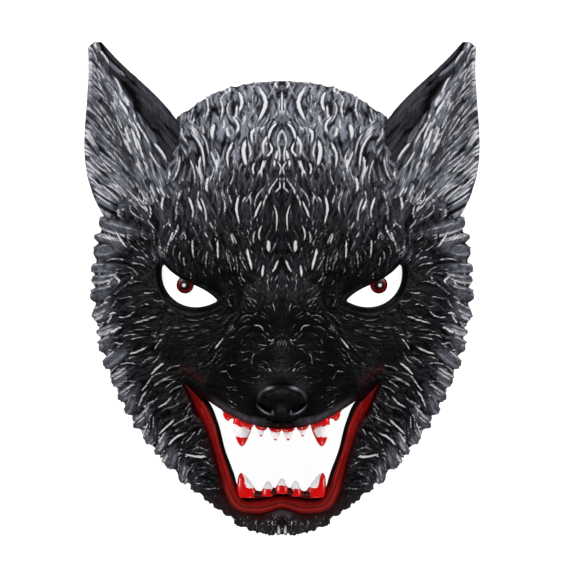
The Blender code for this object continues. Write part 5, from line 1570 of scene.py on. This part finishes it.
def toothMaterial():
    material, tree, shader, colour = grainedMaterial(
        "toothEnamel", {"Roughness": 0.25}, (0.84, 0.80, 0.83, 1), (0.93, 0.91, 0.92, 1), 600, 0.15, 0.0003, 200
    )
    blood = attributeOf(tree, "blood")
    place = addNode(tree, "ShaderNodeTexCoord").outputs["Object"]
    noise = addNode(tree, "ShaderNodeTexNoise", {"Vector": place, "Scale": 420.0, "Detail": 2.0}).outputs[0]
    edge = mathNode(tree, "ADD", blood, mathNode(tree, "MULTIPLY", mathNode(tree, "SUBTRACT", noise, 0.5), 0.9))
    colour = mixColour(tree, ramp(tree, edge, 0.40, 0.62), colour, (0.62, 0.0010, 0.0008, 1))
    tree.links.new(colour, shader.inputs["Base Color"])
    tree.links.new(colour, shader.inputs["Emission Color"])
    shader.inputs["Emission Strength"].default_value = 0.16  # painted light: the enamel glows a little, so the teeth read white
    return material


# a tooth: ovals that shrink as (1 - along^1.7)^0.6 from the root to the tip and lean outwards
def makeTooth(name, node, row, side, upper, material):
    _, across, length, width, lean, rootRed, tipRed = row
    low, high = boxOf(node)
    x = side * across * gapeHalf
    point = -1 if upper else 1
    root = (high[1] if upper else low[1]) - point * 1.3
    tip = low[1] if upper else high[1] + (1.3 if name.endswith("canine") else 0)
    turn = np.linspace(0, 2 * math.pi, 44, endpoint=False)
    run = np.linspace(0, 1, 34)[:, None]
    swell = (1 - run**1.9) ** 0.62 * (1 + 0.10 * np.sin(math.pi * np.minimum(run * 1.6, 1)))
    half = width * teeth["width"] / 2 * swell
    deep = teeth["depth"] / 2 * (1 - run**1.9) ** 0.5
    y = root + (tip - root) * run + 0 * turn
    leanX = side * math.tan(math.radians(lean)) * abs(tip - root) * run
    middleZ = (low[2] + high[2]) / 2 - 0.08 * abs(tip - root) * (run**2 - 0.4)
    groove = 1 - 0.05 * np.cos(3 * turn)
    where = np.dstack([x + leanX + np.cos(turn) * half * groove, y, middleZ + np.sin(turn) * deep * groove])
    rings, count = where.shape[:2]
    number = np.arange(rings * count).reshape(rings, count)
    a, b = number[:-1], number[1:]
    quads = np.stack([a, b, np.roll(b, -1, 1), np.roll(a, -1, 1)], axis=-1).reshape(-1, 4)
    ends = np.stack([where[0].mean(0), where[-1].mean(0)])
    first = np.stack([np.full(count, rings * count), number[0], np.roll(number[0], -1)], axis=1)
    last = np.stack([np.full(count, rings * count + 1), np.roll(number[-1], -1), number[-1]], axis=1)
    inner = -0.10 * side * np.cos(turn) if upper else 0 * turn  # the red comes lower on the inner side
    red = softStep(run - inner, rootRed + 0.12, rootRed - 0.12) + softStep(run, tipRed - 0.06, tipRed + 0.12)
    outer = side * np.cos(turn)
    if name.endswith("upper_canine"):
        red = np.maximum(red, softStep(0.5 * (run - 0.5) - outer, 0.72, 0.94))
    if name.endswith("lower_canine"):
        red = red + softStep(outer + 0.8 * (run - 0.4), -0.15, 0.35)
    red = np.clip(red + 0 * turn, 0, 1)
    fields = {"blood": np.concatenate([red.ravel(), [1, red[-1, 0]]])}
    sets = [quads, first, last]
    piece = meshPiece(f"{name}_enamel", np.vstack([where.reshape(-1, 3), ends]), sets, material, fields, flip=upper)
    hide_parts(node)
    return x, width * teeth["width"]


# a lumpy bar along a line: ovals whose height swells at each tooth
def makeGum(upper, line, roots, material):
    point = -1 if upper else 1
    swell = [np.clip(1 - ((line[:, 0] - x) / (0.36 * width + 2.0)) ** 2, 0, 1) ** 0.5 * (1 + 0.1 * width) for x, width in roots]
    half = (0.25 if upper else 2.3) + (0.85 if upper else 0.25) * np.max(swell, axis=0)
    turn = np.linspace(0, 2 * math.pi, 28, endpoint=False)
    level = faceHeight(line[:, 0], line[:, 1]) - (4.4 if upper else 6.0)
    taper = np.clip(np.sin(np.linspace(0, math.pi, len(line))) * 4, 0.05, 1) ** 0.5
    y = line[:, 1:2] + point * (half * taper)[:, None] * (1 + np.cos(turn)) - point * 0.6
    z = level[:, None] + np.sin(turn) * (3.0 + 0.5 * half[:, None]) * taper[:, None]
    where = np.dstack([line[:, :1] + 0 * turn, y, z])
    rings, count = where.shape[:2]
    number = np.arange(rings * count).reshape(rings, count)
    a, b = number[:-1], number[1:]
    quads = np.stack([a, b, np.roll(b, -1, 1), np.roll(a, -1, 1)], axis=-1).reshape(-1, 4)
    ends = np.stack([where[0].mean(0), where[-1].mean(0)])
    first = np.stack([np.full(count, rings * count), number[0], np.roll(number[0], -1)], axis=1)
    last = np.stack([np.full(count, rings * count + 1), np.roll(number[-1], -1), number[-1]], axis=1)
    name = "upper" if upper else "lower"
    sets = [quads, first, last]
    piece = meshPiece(f"{name}_gum_flesh", np.vstack([where.reshape(-1, 3), ends]), sets, material, flip=upper)
    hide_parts(f"{name}_gum")


def makeTeeth():
    enamel = toothMaterial()
    flesh, tree, shader, colour = grainedMaterial(
        "gumBlood", {"Roughness": 0.2, "Coat Weight": 0.5}, (0.50, 0.001, 0.001, 1), (0.66, 0.002, 0.001, 1), 500, 0.3, 0.0004, 200
    )
    tree.links.new(colour, shader.inputs["Base Color"])
    shadowed, tree, shader, colour = grainedMaterial(
        "gumShadow", {"Roughness": 0.45, "Specular IOR Level": 0.15}, (0.040, 0.001, 0.001, 1), (0.075, 0.002, 0.001, 1), 500, 0.3, 0.0004, 200
    )
    tree.links.new(colour, shader.inputs["Base Color"])
    for upper, rows in ((True, upperTeeth), (False, lowerTeeth)):
        roots = []
        for row in rows:
            for side in (1, -1) if row[1] else (1,):
                name = f"{'right' if side > 0 else 'left'}_{row[0]}" if row[1] else row[0]
                roots.append(makeTooth(name, name, row, side, upper, enamel))
        if upper:
            edge = upperEdge(700)
            line = alongCurve(edge[np.abs(edge[:, 0]) < 0.64 * gapeHalf][::12], 240)
        else:
            _, inner = lipEdges(700)
            line = alongCurve(inner[np.abs(inner[:, 0]) < 0.46 * gapeHalf][::12], 200)
        makeGum(upper, line, roots, flesh if upper else shadowed)


makeTeeth()
print("teeth done")

# stage, lights, camera
stage = {
    "imageWidth": 319.0,  # millimetres across the picture at the cheeks' height
    "cheekLevel": 20.0,
    "across": 4.4,  # the mask stands a little left of the picture's middle
    "distance": 5.0,
    "floorSize": 30.0,
}


def floorMaterial():
    material, tree, shader = newMaterial("palePaper", {"Roughness": 0.9, "Specular IOR Level": 0.1})
    grain = addNode(tree, "ShaderNodeGroup", node_tree=paintGrain)
    grain.inputs["Mottle"].default_value = 3.0
    colour = mixColour(tree, grain.outputs["Patches"], (0.38, 0.38, 0.38, 1), (0.42, 0.42, 0.42, 1))
    tree.links.new(colour, shader.inputs["Base Color"])
    shader.inputs["Emission Color"].default_value = (1, 1, 1, 1)
    shader.inputs["Emission Strength"].default_value = 0.97
    return material


def makeFloor():
    half = stage["floorSize"] / 2
    mesh = bpy.data.meshes.new("floor")
    mesh.from_pydata([(-half, -half, 0), (half, -half, 0), (half, half, 0), (-half, half, 0)], [], [(0, 1, 2, 3)])
    floor = bpy.data.objects.new("floor", mesh)
    bpy.context.scene.collection.objects.link(floor)
    mesh.materials.append(floorMaterial())
    floor.visible_glossy = False  # the paper isn't mirrored in the paint


lamps = {
    "top": ((0.0, 1.4, 1.1), 0.6, 19.0),
    "left": ((-1.4, 0.4, 0.95), 0.5, 13.0),
    "right": ((1.4, 0.4, 0.95), 0.5, 13.0),
    "chin": ((0.0, -1.4, 0.9), 0.6, 11.0),
}


def makeLamps():
    for name, (place, size, power) in lamps.items():
        data = bpy.data.lights.new(name, "AREA")
        data.size, data.energy = size, power
        lamp = bpy.data.objects.new(name, data)
        bpy.context.scene.collection.objects.link(lamp)
        lamp.location = place
        aim = (np.array([0, -0.01, 0.04]) - place)
        lamp.rotation_euler = (
            math.acos(-aim[2] / np.linalg.norm(aim)),
            0,
            math.atan2(aim[1], aim[0]) - math.pi / 2,
        )
    world = bpy.data.worlds.new("studio")
    bpy.context.scene.world = world
    world.use_nodes = True
    back = world.node_tree.nodes["Background"]
    back.inputs["Color"].default_value = (1, 1, 1, 1)
    back.inputs["Strength"].default_value = 0.06
    bpy.context.scene.view_settings.view_transform = "Standard"


def makeCamera():
    camera = bpy.data.objects.new("camera", bpy.data.cameras.new("camera"))
    bpy.context.scene.collection.objects.link(camera)
    camera.location = (stage["across"] * metre, 0, stage["distance"])
    width = stage["imageWidth"] * metre
    away = stage["distance"] - stage["cheekLevel"] * metre
    camera.data.sensor_width = 36.0
    camera.data.lens = camera.data.sensor_width * away / width
    bpy.context.scene.camera = camera


makeFloor()
makeLamps()
makeCamera()
